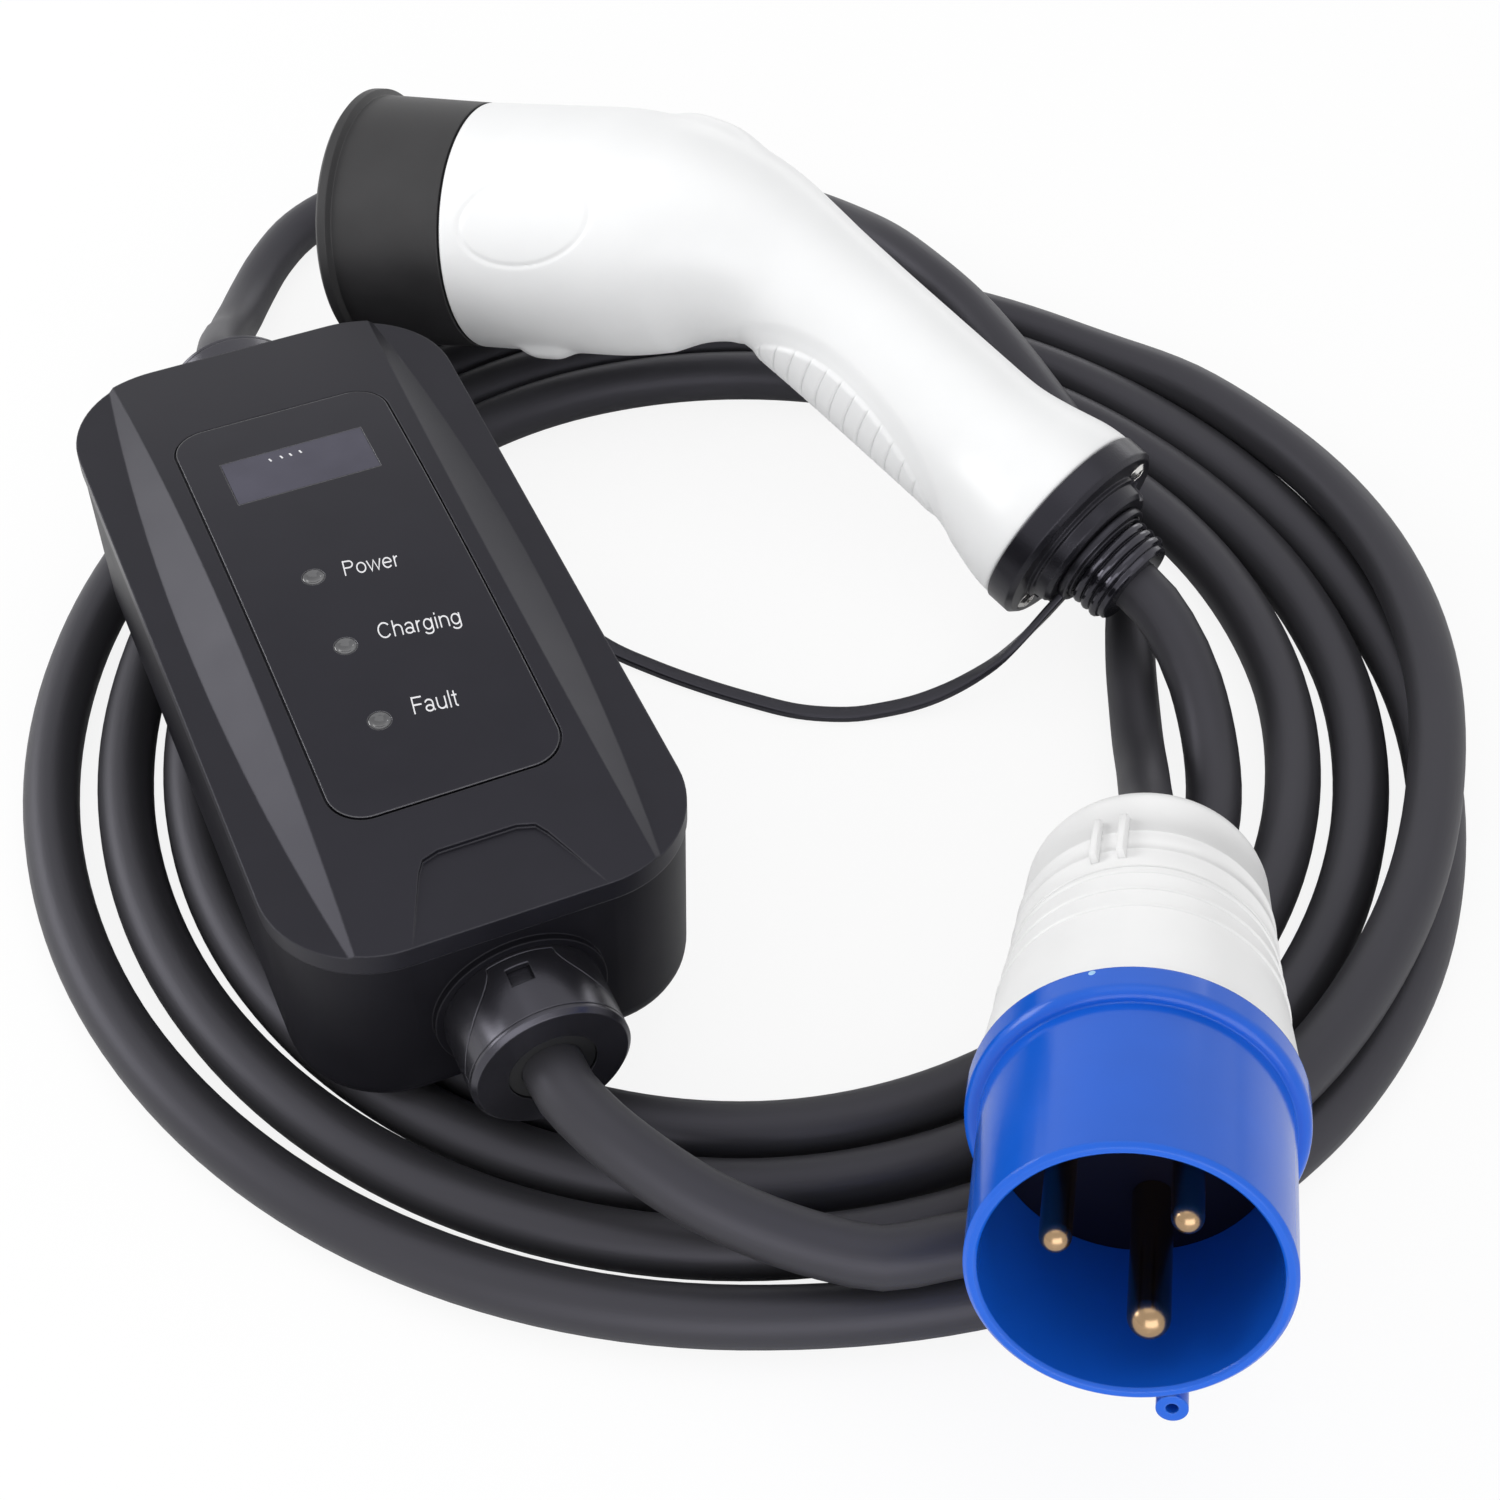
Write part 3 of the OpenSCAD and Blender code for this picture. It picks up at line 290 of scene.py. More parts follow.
# A darker, less glossy copy of the lid's charcoal for the base: painted shade on the box's shaded
# sides.
base_charcoal_shaded = material_of("base_charcoal_shaded", (0.0070, 0.0068, 0.0088), 0.42, edge=0.5, wear_and_highlight=0.4,
                            specular=0.13, sheen=VIOLET)
# The panel's strongly paled edges are a painted highlight along its rim.
panel_gloss = material_of("panel_gloss", (0.0075, 0.0073, 0.0100), 0.16, depth=0.003, edge=0.5,
                          wear_and_highlight=0.9, specular=0.33, sheen=VIOLET, wear_highlight_lift=0.16)
display_tint = material_of("display_tint", (0.060, 0.058, 0.080), 0.15, depth=0.003, vary=0.12,
                           specular=0.33, sheen=VIOLET)
lens_clear = material_of("lens_clear", (0.055, 0.055, 0.060), 0.14, depth=0.003, coat=0.8)
seal_rubber = material_of("seal_rubber", (0.014, 0.014, 0.015), 0.6, specular=0.3)
board_green = material_of("board_green", (0.02, 0.12, 0.05), 0.4, edge=0.2)
component_dark = material_of("component_dark", (0.03, 0.03, 0.032), 0.4, edge=0.3)
component_block = material_of("component_block", (0.05, 0.06, 0.10), 0.35, edge=0.3)
screw_steel = material_of("screw_steel", (0.72, 0.71, 0.69), 0.22, metal=1.0, edge=0.2)
handle_white = material_of("handle_white", (0.87, 0.875, 0.88), 0.36, depth=0.006, vary=0.010,
                           edge=0.4)
insert_black = material_of("insert_black", (0.012, 0.012, 0.013), 0.45, edge=0.4, wear_and_highlight=0.4)
contact_silver = material_of("contact_silver", (0.70, 0.68, 0.64), 0.25, metal=1.0, edge=0.2)
cap_rubber = material_of("cap_rubber", (0.022, 0.0215, 0.023), 0.48, grain=3200, depth=0.03,
                         edge=0.5, wear_and_highlight=0.4, specular=0.4)
strap_rubber = material_of("strap_rubber", (0.010, 0.0098, 0.012), 0.30, grain=3200, depth=0.02,
                           edge=0.3, wear_and_highlight=0.3, specular=0.50, sheen=VIOLET)
cover_black = material_of("cover_black", (0.008, 0.0078, 0.010), 0.28, grain=1700, depth=0.05,
                          edge=0.6, wear_and_highlight=0.4, specular=0.40, sheen=VIOLET)
nut_black = material_of("nut_black", (0.008, 0.0078, 0.010), 0.12, depth=0.006, edge=0.4,
                        wear_and_highlight=0.4, specular=0.7, sheen=VIOLET)
plug_blue = material_of("plug_blue", (0.007, 0.104, 0.590), 0.15, depth=0.004, vary=0.03,
                        edge=0.6, wear_and_highlight=0.2, uneven=0.02, specular=0.32)
gate_blue = material_of("gate_blue", (0.32, 0.55, 0.80), 0.4, depth=0.006)
# The carrier's near-black is partly its own dark navy, partly painted shade inside the shroud.
carrier_blue = material_of("carrier_blue", (0.0014, 0.0020, 0.010), 0.45, depth=0.02, edge=0.4,
                           specular=0.10)
# The pins' brass is darkened: painted shade standing in for the dark inside of the shroud that they
# reflect.
pin_brass = material_of("pin_brass", (0.37, 0.25, 0.145), 0.24, metal=1.0, edge=0.3)
plug_white = material_of("plug_white", (0.86, 0.86, 0.86), 0.36, depth=0.015, vary=0.012, edge=0.6)
cable_rubber = material_of("cable_rubber", (0.030, 0.0295, 0.033), 0.46, grain=2600, depth=0.05,
                           streak=True, specular=0.4, sheen=VIOLET)
legend_white = material_of("legend_white", (0.80, 0.80, 0.82), 0.5, grain=6000, depth=0.003,
                           vary=0.04)

DRESS = {
    base_charcoal_shaded: ["box_base"],
    charcoal: ["box_lid"],
    gland_black: ["supply_gland", "supply_gland_clip", "outlet_gland", "outlet_gland_clip"],
    panel_gloss: ["front_panel"],
    display_tint: ["display_window"],
    lens_clear: ["indicator_lenses"],
    seal_rubber: ["lid_seal", "supply_gland_seal", "outlet_gland_seal", "plug_cable_seal"],
    board_green: ["circuit_board"],
    component_dark: ["leakage_sensor", "capacitors"],
    component_block: ["power_relays", "supply_module"],
    screw_steel: ["lid_screws", "rear_cover_screws"],
    handle_white: ["handle_shell"],
    insert_black: ["nose_sleeve", "contact_carrier", "handle_cable_clamp"],
    contact_silver: ["contact_sleeves"],
    cap_rubber: ["protective_cap", "cap_strap"],
    cover_black: ["rear_cover"],
    nut_black: ["handle_gland_nut"],
    plug_blue: ["plug_shroud"],
    carrier_blue: ["plug_carrier"],
    pin_brass: ["line_pin", "neutral_pin", "earth_pin"],
    plug_white: ["plug_body", "plug_rear_nut", "plug_cord_clamp"],
    cable_rubber: ["supply_cord", "ev_cable_lead", "ev_cable_coil", "ev_cable_tail"],
}
for material, names in DRESS.items():
    for name in names:
        nodes[name].data.materials.clear()
        nodes[name].data.materials.append(material)


# Cords

CABLE_D = 13.2
SUPPLY_D = 12.4
CORD_STEP = 0.004
BOSS_FACE = 98.2
GLAND_L = 18.0
GLAND_Z = 24.0
NUT_X = 15.2
NUT_L = 10.0
PLUG_BACK = -75.0
COIL_PLACE = (-2.0, 6.0)


def on_box(y):
    return BOX @ Vector((0, y, GLAND_Z))


def on_plug(z):
    return PLUG @ Vector((0, 0, z))


# The connector's bent axis: a straight nose, an arc and a straight handle.
NOSE_R = 31.8
NOSE_L = 72.5
BEND = math.radians(36)
HANDLE_L = 110.0
GRIP_R = 20.5
END_R = 25.3
SHELL_T = 3.0
SPINE_R = 58.0
SPINE_T = SPINE_R * math.tan(BEND / 2)
NOSE_STRAIGHT = NOSE_L - SPINE_T
SPINE_ARC = SPINE_R * BEND
HANDLE_STRAIGHT = HANDLE_L - SPINE_T
SPINE_L = NOSE_STRAIGHT + SPINE_ARC + HANDLE_STRAIGHT


def spine(s):
    """The axis at a distance from the nose, and how far it has turned there."""
    turned = min(max((s - NOSE_STRAIGHT) / SPINE_ARC, 0), 1) * BEND
    past = max(s - NOSE_STRAIGHT - SPINE_ARC, 0)
    if s < NOSE_STRAIGHT:
        return Vector((NOSE_L - s, 0, 0)), 0.0
    x = SPINE_T - SPINE_R * math.sin(turned) - past * math.cos(turned)
    z = -SPINE_R * (1 - math.cos(turned)) - past * math.sin(turned)
    return Vector((x, 0, z)), turned


GUN_END = GUN @ Matrix.Translation(spine(SPINE_L)[0]) @ Matrix.Rotation(-math.pi / 2 - BEND, 4, "Y")


def along_end(z):
    return GUN_END @ Vector((0, 0, z))


SUPPLY_ROUTE = [
    (-135.5, 97, 37.2), (-138, 105, 35), (-140, 113, 31), (-141.5, 122, 26), (-142.5, 131, 21),
    (-143, 139, 16), (-143.5, 148, 12), (-143, 158, 9), (-142, 169, 7), (-138.5, 185, 6.4),
    (-132, 200, 6.4), (-121, 212, 6.4), (-105, 220, 6.4), (-85, 225, 6.4), (-60, 228, 6.4),
    (-35, 228, 6.4), (-14, 224, 6.4), (2, 218, 6.4), (15, 209, 8), (27, 196, 12), (39, 178, 18),
    (50, 161, 20.4), (60, 146, 20.4), (69, 128, 20.4), (77, 110, 20), (83, 97, 18.4),
    (87.5, 86, 14.4), (91.5, 76, 10.4), (94.5, 66, 7.6), (96, 55, 6.6), (96.5, 45, 6.4),
    (95.5, 35, 6.4), (94.5, 22, 6.4), (94, 8, 6.6), (93.5, -5, 8), (93, -17, 11.6),
    (92, -28, 16.6), (91, -39, 22.4),
]
LEAD_ROUTE = [
    (-37, -128, 37.2), (-30, -135, 35), (-20, -141.5, 31), (-9, -147, 27), (3, -151, 23.4),
    (15, -154, 21),
]
TAIL_ROUTE = [
    (99, 26, 24), (102.4, 21, 21.4), (105.4, 15.4, 18.4), (108, 8.8, 14.8), (109.8, 1, 11.1),
    (110.7, -8, 8.2), (110.4, -18, 7), (108.9, -28, 6.8), (106.2, -38, 6.8), (102.2, -48, 6.8),
]
# The coil, turn by turn: angle about its middle, distance from it, and height of the cable's axis.
COIL = [
    (-80, 164.6, 20.4), (-70, 165, 19.2), (-60, 165.5, 18.2), (-50, 165.5, 18.2), (-40, 165, 18.2),
    (-30, 164.5, 18.6), (-15, 164.5, 19.4), (0, 166, 19.8), (12, 167.3, 18.9), (24, 168, 16.5),
    (35, 168.3, 13.6), (45, 168.5, 11.1), (52, 168.5, 7.8), (58, 168.4, 6.6), (95, 168, 6.6),
    (110, 168, 6.6), (180, 166, 6.6), (270, 167.5, 6.6), (290, 170.5, 6.6), (300, 172.5, 6.6),
    (315, 172.5, 6.6), (330, 171, 6.6), (345, 168, 6.6), (360, 165, 6.6), (375, 161, 6.6),
    (390, 158, 6.6), (405, 156, 6.6), (420, 155, 6.6), (450, 154.6, 6.6), (470, 154.6, 6.6),
    (540, 148.5, 6.6), (630, 151.5, 6.6), (660, 150.8, 6.6), (690, 150, 6.6), (720, 149, 6.6),
    (735, 147, 6.6), (750, 144.5, 6.6), (765, 142.5, 6.6), (780, 141.6, 6.6), (810, 141.4, 6.6),
    (830, 141.3, 6.6), (900, 133, 6.6), (990, 137, 6.6), (1020, 135.5, 6.6), (1050, 134, 6.6),
    (1080, 133, 6.6), (1095, 131.8, 6.6), (1110, 130.6, 6.6), (1125, 129.2, 6.6), (1140, 128.2, 6.6),
    (1170, 128, 6.6), (1190, 128, 6.6), (1260, 119.5, 6.6), (1350, 122.5, 6.6), (1380, 120.5, 6.6),
    (1400, 117.8, 6.8),
]
COIL_STEP = 4


def eased(x, known):
    """A smooth, never overshooting value between the known (position, value) pairs."""
    at = [k[0] for k in known]
    i = min(max(int(np.searchsorted(at, x, side="right")) - 1, 0), len(at) - 2)

    def slope(k):
        if k <= 0 or k >= len(at) - 1:
            return 0.0
        a = (known[k][1] - known[k - 1][1]) / (at[k] - at[k - 1])
        b = (known[k + 1][1] - known[k][1]) / (at[k + 1] - at[k])
        return 0.0 if a * b <= 0 else 2 * a * b / (a + b)

    h = at[i + 1] - at[i]
    t = (x - at[i]) / h
    return ((2 * t ** 3 - 3 * t * t + 1) * known[i][1] + (t ** 3 - 2 * t * t + t) * h * slope(i)
            + (3 * t * t - 2 * t ** 3) * known[i + 1][1] + (t ** 3 - t * t) * h * slope(i + 1))


COIL_R = [(a, r) for a, r, z in COIL]
COIL_Z = [(a, z) for a, r, z in COIL]


def on_coil(angle):
    r = eased(angle, COIL_R)
    turned = math.radians(angle)
    x = COIL_PLACE[0] + r * math.cos(turned)
    y = COIL_PLACE[1] + r * math.sin(turned)
    return spot(x, y, eased(angle, COIL_Z))


ev_points = [on_box(-BOSS_FACE - d) for d in (-6, 10, GLAND_L + 2)]
ev_points += [spot(*p) for p in LEAD_ROUTE]
ev_points += [on_coil(a) for a in range(COIL[0][0], COIL[-1][0] + 1, COIL_STEP)]
ev_points += [spot(*p) for p in reversed(TAIL_ROUTE)]
ev_points += [along_end(d) for d in (NUT_X + NUT_L + 1, NUT_X + NUT_L - 2, 8, -8)]
ev_path = smooth_path(ev_points, CORD_STEP)
ev_cable = tube("ev_cable", ev_path, CABLE_D / 2 * MM, cable_rubber)
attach(ev_cable, "charger")
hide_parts("ev_cable_lead", "ev_cable_coil", "ev_cable_tail")

supply_points = [on_box(BOSS_FACE + d) for d in (-6, 10, GLAND_L + 2)]
supply_points += [spot(*p) for p in SUPPLY_ROUTE]
supply_points += [on_plug(PLUG_BACK - d) for d in (24, 12, 0, -10)]
supply_path = smooth_path(supply_points, CORD_STEP)
supply_cord = tube("supply_lead", supply_path, SUPPLY_D / 2 * MM, cable_rubber)
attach(supply_cord, "charger")
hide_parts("supply_cord")
# The pale moulding mark on the flange.
GATE_TURN = math.radians(91)
GATE_AT = (32.6, 0, 0.9)
GATE = [(0.02, 0.3), (0.45, 0.24), (0.75, 0.05), (0.8, -0.3), (0.02, -0.3)]
gate_stand = Matrix.Rotation(GATE_TURN, 4, "Z") @ Matrix.Translation(GATE_AT)
gate_stand = gate_stand @ Matrix.Rotation(math.pi / 2, 4, "Y")
gate = lathe("moulding_mark", GATE, PLUG @ gate_stand, gate_blue, 24)
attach(gate, "charger")

# The plug's clamping nut: a domed cap with thin rings and two fins, and three more rings on the body.
NUT_FRONT, NUT_BACK = -42.1, -79.5
NUT_FRONT_R, NUT_BACK_R = 27.7, 25.2
NUT_ROUND = 9.0
NUT_WALL = 3.0
NUT_CHAMFER = 0.3
NUT_TURNS = 120
NUT_RINGS = (-48.5, -56.0)
BODY_RINGS = (-26.0, -33.0, -40.0)
BODY_FRONT_R, BODY_TAPER = 31.9, 7.7 / 75
THREAD_Z = -58.0
SEAL_R, SEAL_FROM, SEAL_TO = 9.8, -73.6, -64.5
CORD_HOLE = SUPPLY_D / 2 + 0.1
RING_RISE, RING_HALF, RING_CREST = 0.32, 0.7, 0.25
LUG_TURN = math.radians(1.1)
LUG_T, LUG_GAP, LUG_ROOT, LUG_ROUND = 1.6, 5.6, 2.0, 0.4
# Each fin from back to front: height on the plug, and how far it stands proud of the nut.
LUG_STATIONS = [(-62.0, 0.2), (-61.2, 1.6), (-60.0, 2.0), (-46.6, 2.3), (-45.9, 2.0), (-45.5, 1.0)]


def nut_edge(z):
    return NUT_FRONT_R + (NUT_BACK_R - NUT_FRONT_R) * (NUT_FRONT - z) / (NUT_FRONT - NUT_BACK)


def body_edge(z):
    return BODY_FRONT_R + BODY_TAPER * z


def raised_ring(z, edge):
    crest = edge(z) + RING_RISE
    return [(edge(z + RING_HALF), z + RING_HALF), (crest, z + RING_CREST), (crest, z - RING_CREST),
            (edge(z - RING_HALF), z - RING_HALF)]


def plug_nut_mesh():
    """The nut turned about the plug's axis, with its two fins."""
    corner_r = nut_edge(NUT_BACK + NUT_ROUND) - NUT_ROUND
    profile = [(NUT_FRONT_R - NUT_WALL, NUT_FRONT), (NUT_FRONT_R - NUT_CHAMFER, NUT_FRONT),
               (NUT_FRONT_R, NUT_FRONT - NUT_CHAMFER)]
    for z in NUT_RINGS:
        profile += raised_ring(z, nut_edge)
    for a in range(0, 91, 9):
        c = math.cos(math.radians(a))
        n = math.sin(math.radians(a))
        profile.append((corner_r + NUT_ROUND * c, NUT_BACK + NUT_ROUND * (1 - n)))
    profile += [(CORD_HOLE, NUT_BACK), (CORD_HOLE, SEAL_FROM), (SEAL_R, SEAL_FROM), (SEAL_R, SEAL_TO),
                (nut_edge(SEAL_TO) - NUT_WALL - NUT_ROUND / 2, SEAL_TO),
                (nut_edge(THREAD_Z) - NUT_WALL, THREAD_Z)]
    verts, faces = turned_mesh(profile, PLUG, NUT_TURNS)
    lug_stand = PLUG @ Matrix.Rotation(LUG_TURN, 4, "Z")
    for side in (-1, 1):
        first = len(verts)
        for z, rise in LUG_STATIONS:
            low = nut_edge(z) - LUG_ROOT
            high = nut_edge(z) + rise
            left = side * LUG_GAP / 2 - LUG_T / 2
            corners = [(left, low), (left + LUG_T, low), (left + LUG_T, high), (left, high)]
            section = rounded(corners, LUG_ROUND, 4)
            verts += [lug_stand @ Vector((x, y, z)) for x, y in section]
        n = len(section)
        faces += [tuple(first + k for k in f) for f in grid_faces(len(LUG_STATIONS), n)]
        faces.append(tuple(range(first, first + n)))
        faces.append(tuple(range(len(verts) - n, len(verts))))
    return verts, faces


plug_nut = piece_of("plug_nut", *plug_nut_mesh(), plug_white)
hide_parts("plug_rear_nut")
plug_extras = [gate, plug_nut]
for k, z in enumerate(BODY_RINGS):
    ring = raised_ring(z, body_edge)
    ring += [(r - RING_RISE, at) for r, at in (ring[-1], ring[0])]
    plug_extras.append(lathe("body_ring_%d" % (k + 1), ring, PLUG, plug_white, NUT_TURNS))
for extra in plug_extras[1:]:
    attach(extra, "charger")

# Vehicle connector: one smooth moulding, with its grooved grip pad, badge outline and bumps.

FLARE_L = 28.0
FLARE_R = (GRIP_R + END_R) / 2
# Along the axis: half width, half height above it and below it.
STATIONS = [
    (0, NOSE_R, NOSE_R, NOSE_R),
    (0.72 * NOSE_STRAIGHT, NOSE_R, NOSE_R, NOSE_R),
    (NOSE_STRAIGHT, NOSE_R - 0.8, NOSE_R - 1.8, NOSE_R - 1.7),
    (NOSE_STRAIGHT + 0.5 * SPINE_ARC, NOSE_R - 5, NOSE_R - 6.8, NOSE_R - 6.6),
    (NOSE_STRAIGHT + SPINE_ARC, GRIP_R + 0.5, GRIP_R + 0.4, GRIP_R + 0.2),
    (SPINE_L - 0.7 * HANDLE_STRAIGHT, GRIP_R - 1.5, GRIP_R, GRIP_R - 0.3),
    (SPINE_L - FLARE_L, GRIP_R - 1.5, GRIP_R, GRIP_R - 0.3),
    (SPINE_L - FLARE_L / 2, FLARE_R - 0.5, FLARE_R, FLARE_R),
    (SPINE_L - 3, END_R, END_R, END_R),
    (SPINE_L, END_R, END_R, END_R),
]
HALVES = [[(row[0], row[k]) for row in STATIONS] for k in (1, 2, 3)]
# The pad lies below the axis; its soft hollow is wider by HOLLOW_GROW degrees and longer to match.
PAD_FROM, PAD_TO, PAD_MID = 92.0, 158.0, 119.0
PAD_ANGLE, PAD_HALF = 270, 63.0
PAD_RISE, PAD_SOFT = 0.75, 4.0
HOLLOW_DEPTH, HOLLOW_SOFT, HOLLOW_GROW = 0.5, 13.0, 17.0
PAD_SPARE, PAD_END_SOFT = 0.45, 4.0
RIB_FIRST, RIB_PITCH, RIB_COUNT, RIB_DEPTH, RIB_HALF = 96.2, 4.9, 12, 0.45, 0.24
# Rings of the mesh near one groove, so that it has a clean bottom.
RIB_ROWS = (-0.6, -0.36, -0.18, 0.0, 0.18, 0.36, 0.6, 1.2, 1.8, 2.4, 3.0, 3.6)
BADGE_AT, BADGE_UP, BADGE_A, BADGE_B = 23.6, -3.4, 18.0, 11.3
BADGE_TILT = math.radians(13.5)
BADGE_DEPTH, BADGE_HALF = 0.34, 0.5
# Low bumps: place along the axis, angle round it, length, width, height.
NUBS = [(20.0, 270.0, 7.0, 5.0, 2.2), (60.0, 84.0, 8.0, 7.0, 1.7)]
NUB_FALL = 1.6


def bell(x, width):
    return math.exp(-(x / width) ** 2)


def on_pad(s, off, grow, soft):
    """How far inside the grip pad's outline a point lies, from 0 to 1; grow widens the outline."""
    end = PAD_TO + grow * PAD_SPARE if s > PAD_MID else PAD_FROM - grow * PAD_SPARE
    reach = (s - PAD_MID) / (end - PAD_MID)
    if abs(reach) >= 1:
        return 0.0
    aside = ((PAD_HALF + grow) * math.sqrt(1 - reach * reach) - off) / soft
    before_end = abs(end - s) / PAD_END_SOFT
    inside = min(max(aside, 0), before_end, 1)
    return inside * inside * (3 - 2 * inside)


def relief(s, degrees, radius):
    """How far the moulding stands proud of the plain shell."""
    off = abs((degrees - PAD_ANGLE + 180) % 360 - 180)
    rise = PAD_RISE * on_pad(s, off, 0, PAD_SOFT)
    rise -= HOLLOW_DEPTH * on_pad(s, off, HOLLOW_GROW, HOLLOW_SOFT)
    k = min(max(round((s - RIB_FIRST) / RIB_PITCH), 0), RIB_COUNT - 1)
    groove = bell(s - RIB_FIRST - k * RIB_PITCH, RIB_HALF)
    rise -= RIB_DEPTH * on_pad(s, off, 0, PAD_SOFT) * groove
    across = math.radians((degrees + 180) % 360 - 180) * radius
    if abs(across - BADGE_UP) < 2 * BADGE_B and abs(s - BADGE_AT) < 1.3 * BADGE_A:
        u = s - BADGE_AT
        v = across - BADGE_UP
        a = (u * math.cos(BADGE_TILT) + v * math.sin(BADGE_TILT)) / BADGE_A
        b = (v * math.cos(BADGE_TILT) - u * math.sin(BADGE_TILT)) / BADGE_B
        rise -= BADGE_DEPTH * bell((math.hypot(a, b) - 1) * BADGE_B, BADGE_HALF)
    for at, around, length, width, height in NUBS:
        side = math.radians((degrees - around + 180) % 360 - 180) * radius
        d = ((s - at) / length) ** 4 + (side / width) ** 4
        rise += height * math.exp(-d * NUB_FALL)
    return rise


# Angles round the shell, closer together at the badge and the grip pad.
BADGE_COLUMNS = np.arange(-32, 20, 0.9)
PLAIN_COLUMNS = np.arange(20, 212, 2.5)
PAD_COLUMNS = np.arange(212, 328, 1.5)
SHELL_COLUMNS = [float(a) for a in np.concatenate([BADGE_COLUMNS, PLAIN_COLUMNS, PAD_COLUMNS])]
LIP = 1.2
LIP_STEPS = 6
INNER_RINGS = 30
# The sections are averaged over these offsets, so that they run smoothly.
BLUR = (-4, -2, 0, 2, 4)


def shell_ring(s, inset, detail):
    """One ring of the shell, a given inset inside its outer face."""
    middle, turned = spine(min(max(s, 0), SPINE_L))
    up = Vector((-math.sin(turned), 0, math.cos(turned)))
    near = [min(max(s + k, 0), SPINE_L) for k in BLUR]
    widths = [sum(eased(q, half) for q in near) / len(near) for half in HALVES]
    ring = []
    for degrees in SHELL_COLUMNS:
        c = math.cos(math.radians(degrees))
        n = math.sin(math.radians(degrees))
        proud = relief(s, degrees, widths[0]) if detail else 0.0
        y = (widths[0] - inset + proud) * c
        z = (widths[1 if n > 0 else 2] - inset + proud) * n
        ring.append(GUN @ (middle + Vector((0, y, 0)) + up * z))
    return ring


def lip(back):
    """Rings of the rounded lip at the nose or at the back, from the outer face to the rim."""
    rings = []
    for k in range(LIP_STEPS):
        a = math.pi / 2 * k / LIP_STEPS
        inward = LIP * (1 - math.sin(a))
        inset = LIP * (1 - math.cos(a))
        rings.append(shell_ring(SPINE_L - inward if back else inward, inset, False))
    return rings


BADGE_RINGS, BEND_RINGS, FLARE_RINGS = 115, 60, 29
badge_end = BADGE_AT + BADGE_A
rib_start = RIB_FIRST + RIB_ROWS[0]
rib_end = RIB_FIRST + RIB_COUNT * RIB_PITCH + RIB_ROWS[0]
outer = list(np.linspace(LIP, badge_end, BADGE_RINGS, endpoint=False))[1:]
outer += list(np.linspace(badge_end, rib_start, BEND_RINGS, endpoint=False))
outer += [RIB_FIRST + k * RIB_PITCH + d for k in range(RIB_COUNT) for d in RIB_ROWS]
outer += list(np.linspace(rib_end, SPINE_L - LIP, FLARE_RINGS, endpoint=False))
shell_rows = lip(back=False)[::-1]
shell_rows += [shell_ring(float(s), 0.0, True) for s in outer]
shell_rows += lip(back=True)
shell_rows += [shell_ring(float(s), SHELL_T, False) for s in np.linspace(SPINE_L, 0, INNER_RINGS)]
shell_verts = [v for row in shell_rows for v in row]
shell_faces = grid_faces(len(shell_rows), len(SHELL_COLUMNS), True)
handle = piece_of("handle_moulding", shell_verts, shell_faces, handle_white)
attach(handle, "charger")
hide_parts("handle_shell")

# Strap from the gland's ring to the cap, swept along a curved route.

STRAP_W = 4.0
STRAP_T = 2.0
STRAP_TURN = math.radians(6)
STRAP_AT = 13.6
NECK_R = 12.4
RING_T = 2.2
RING_W = 1.8
RING_GAP = 0.1
RING_TURNS = 72
STRAP_ROUND = 0.6
RING_ROUND = 0.5
# The strap twists from edge on to flat: where that starts, from its ring, and its length, in metres.
TWIST_FROM, TWIST_L = 0.006, 0.035
STRAP_STEP = 0.002
STRAP_LIFT = 1.7
STRAP_ROUTE = [
    (66, 24.4, 12.4), (60, 20.8, 8.6), (51, 16.8, 5), (42, 13.8, 2.8), (33, 12, 1.6), (24, 11, 1),
    (12, 12, 1), (0, 16, 1), (-12, 21, 1), (-24, 27, 1), (-36, 34, 1.4), (-47, 44, 2.4),
    (-56, 57, 4.4), (-64, 71, 7.4), (-72, 86, 11.4), (-80, 99, 15), (-87, 110, 17.2), (-95, 121, 18.4),
]
CAP_FROM = NOSE_L + 0.3
CAP_L = 33.4
CAP_RIM = 2.6
CAP_RIM_L = 3.0

STRAP_LOW = -NOSE_R - CAP_RIM - STRAP_T / 2 - STRAP_LIFT
strap_root = along_end(STRAP_AT)
strap_end = GUN @ Vector((CAP_FROM + CAP_L - CAP_RIM_L / 2, 0, STRAP_LOW))
turn_end = GUN_END.to_quaternion()
strap_out = turn_end @ Vector((-math.cos(STRAP_TURN), math.sin(STRAP_TURN), 0))
strap_across = turn_end @ Vector((math.sin(STRAP_TURN), math.cos(STRAP_TURN), 0))
strap_points = [strap_root + strap_out * (NECK_R + d) * MM for d in (1, 5, 10)]
strap_points += [spot(*p) for p in STRAP_ROUTE]
strap_points.append(strap_end)
strap_path = smooth_path(strap_points, STRAP_STEP)


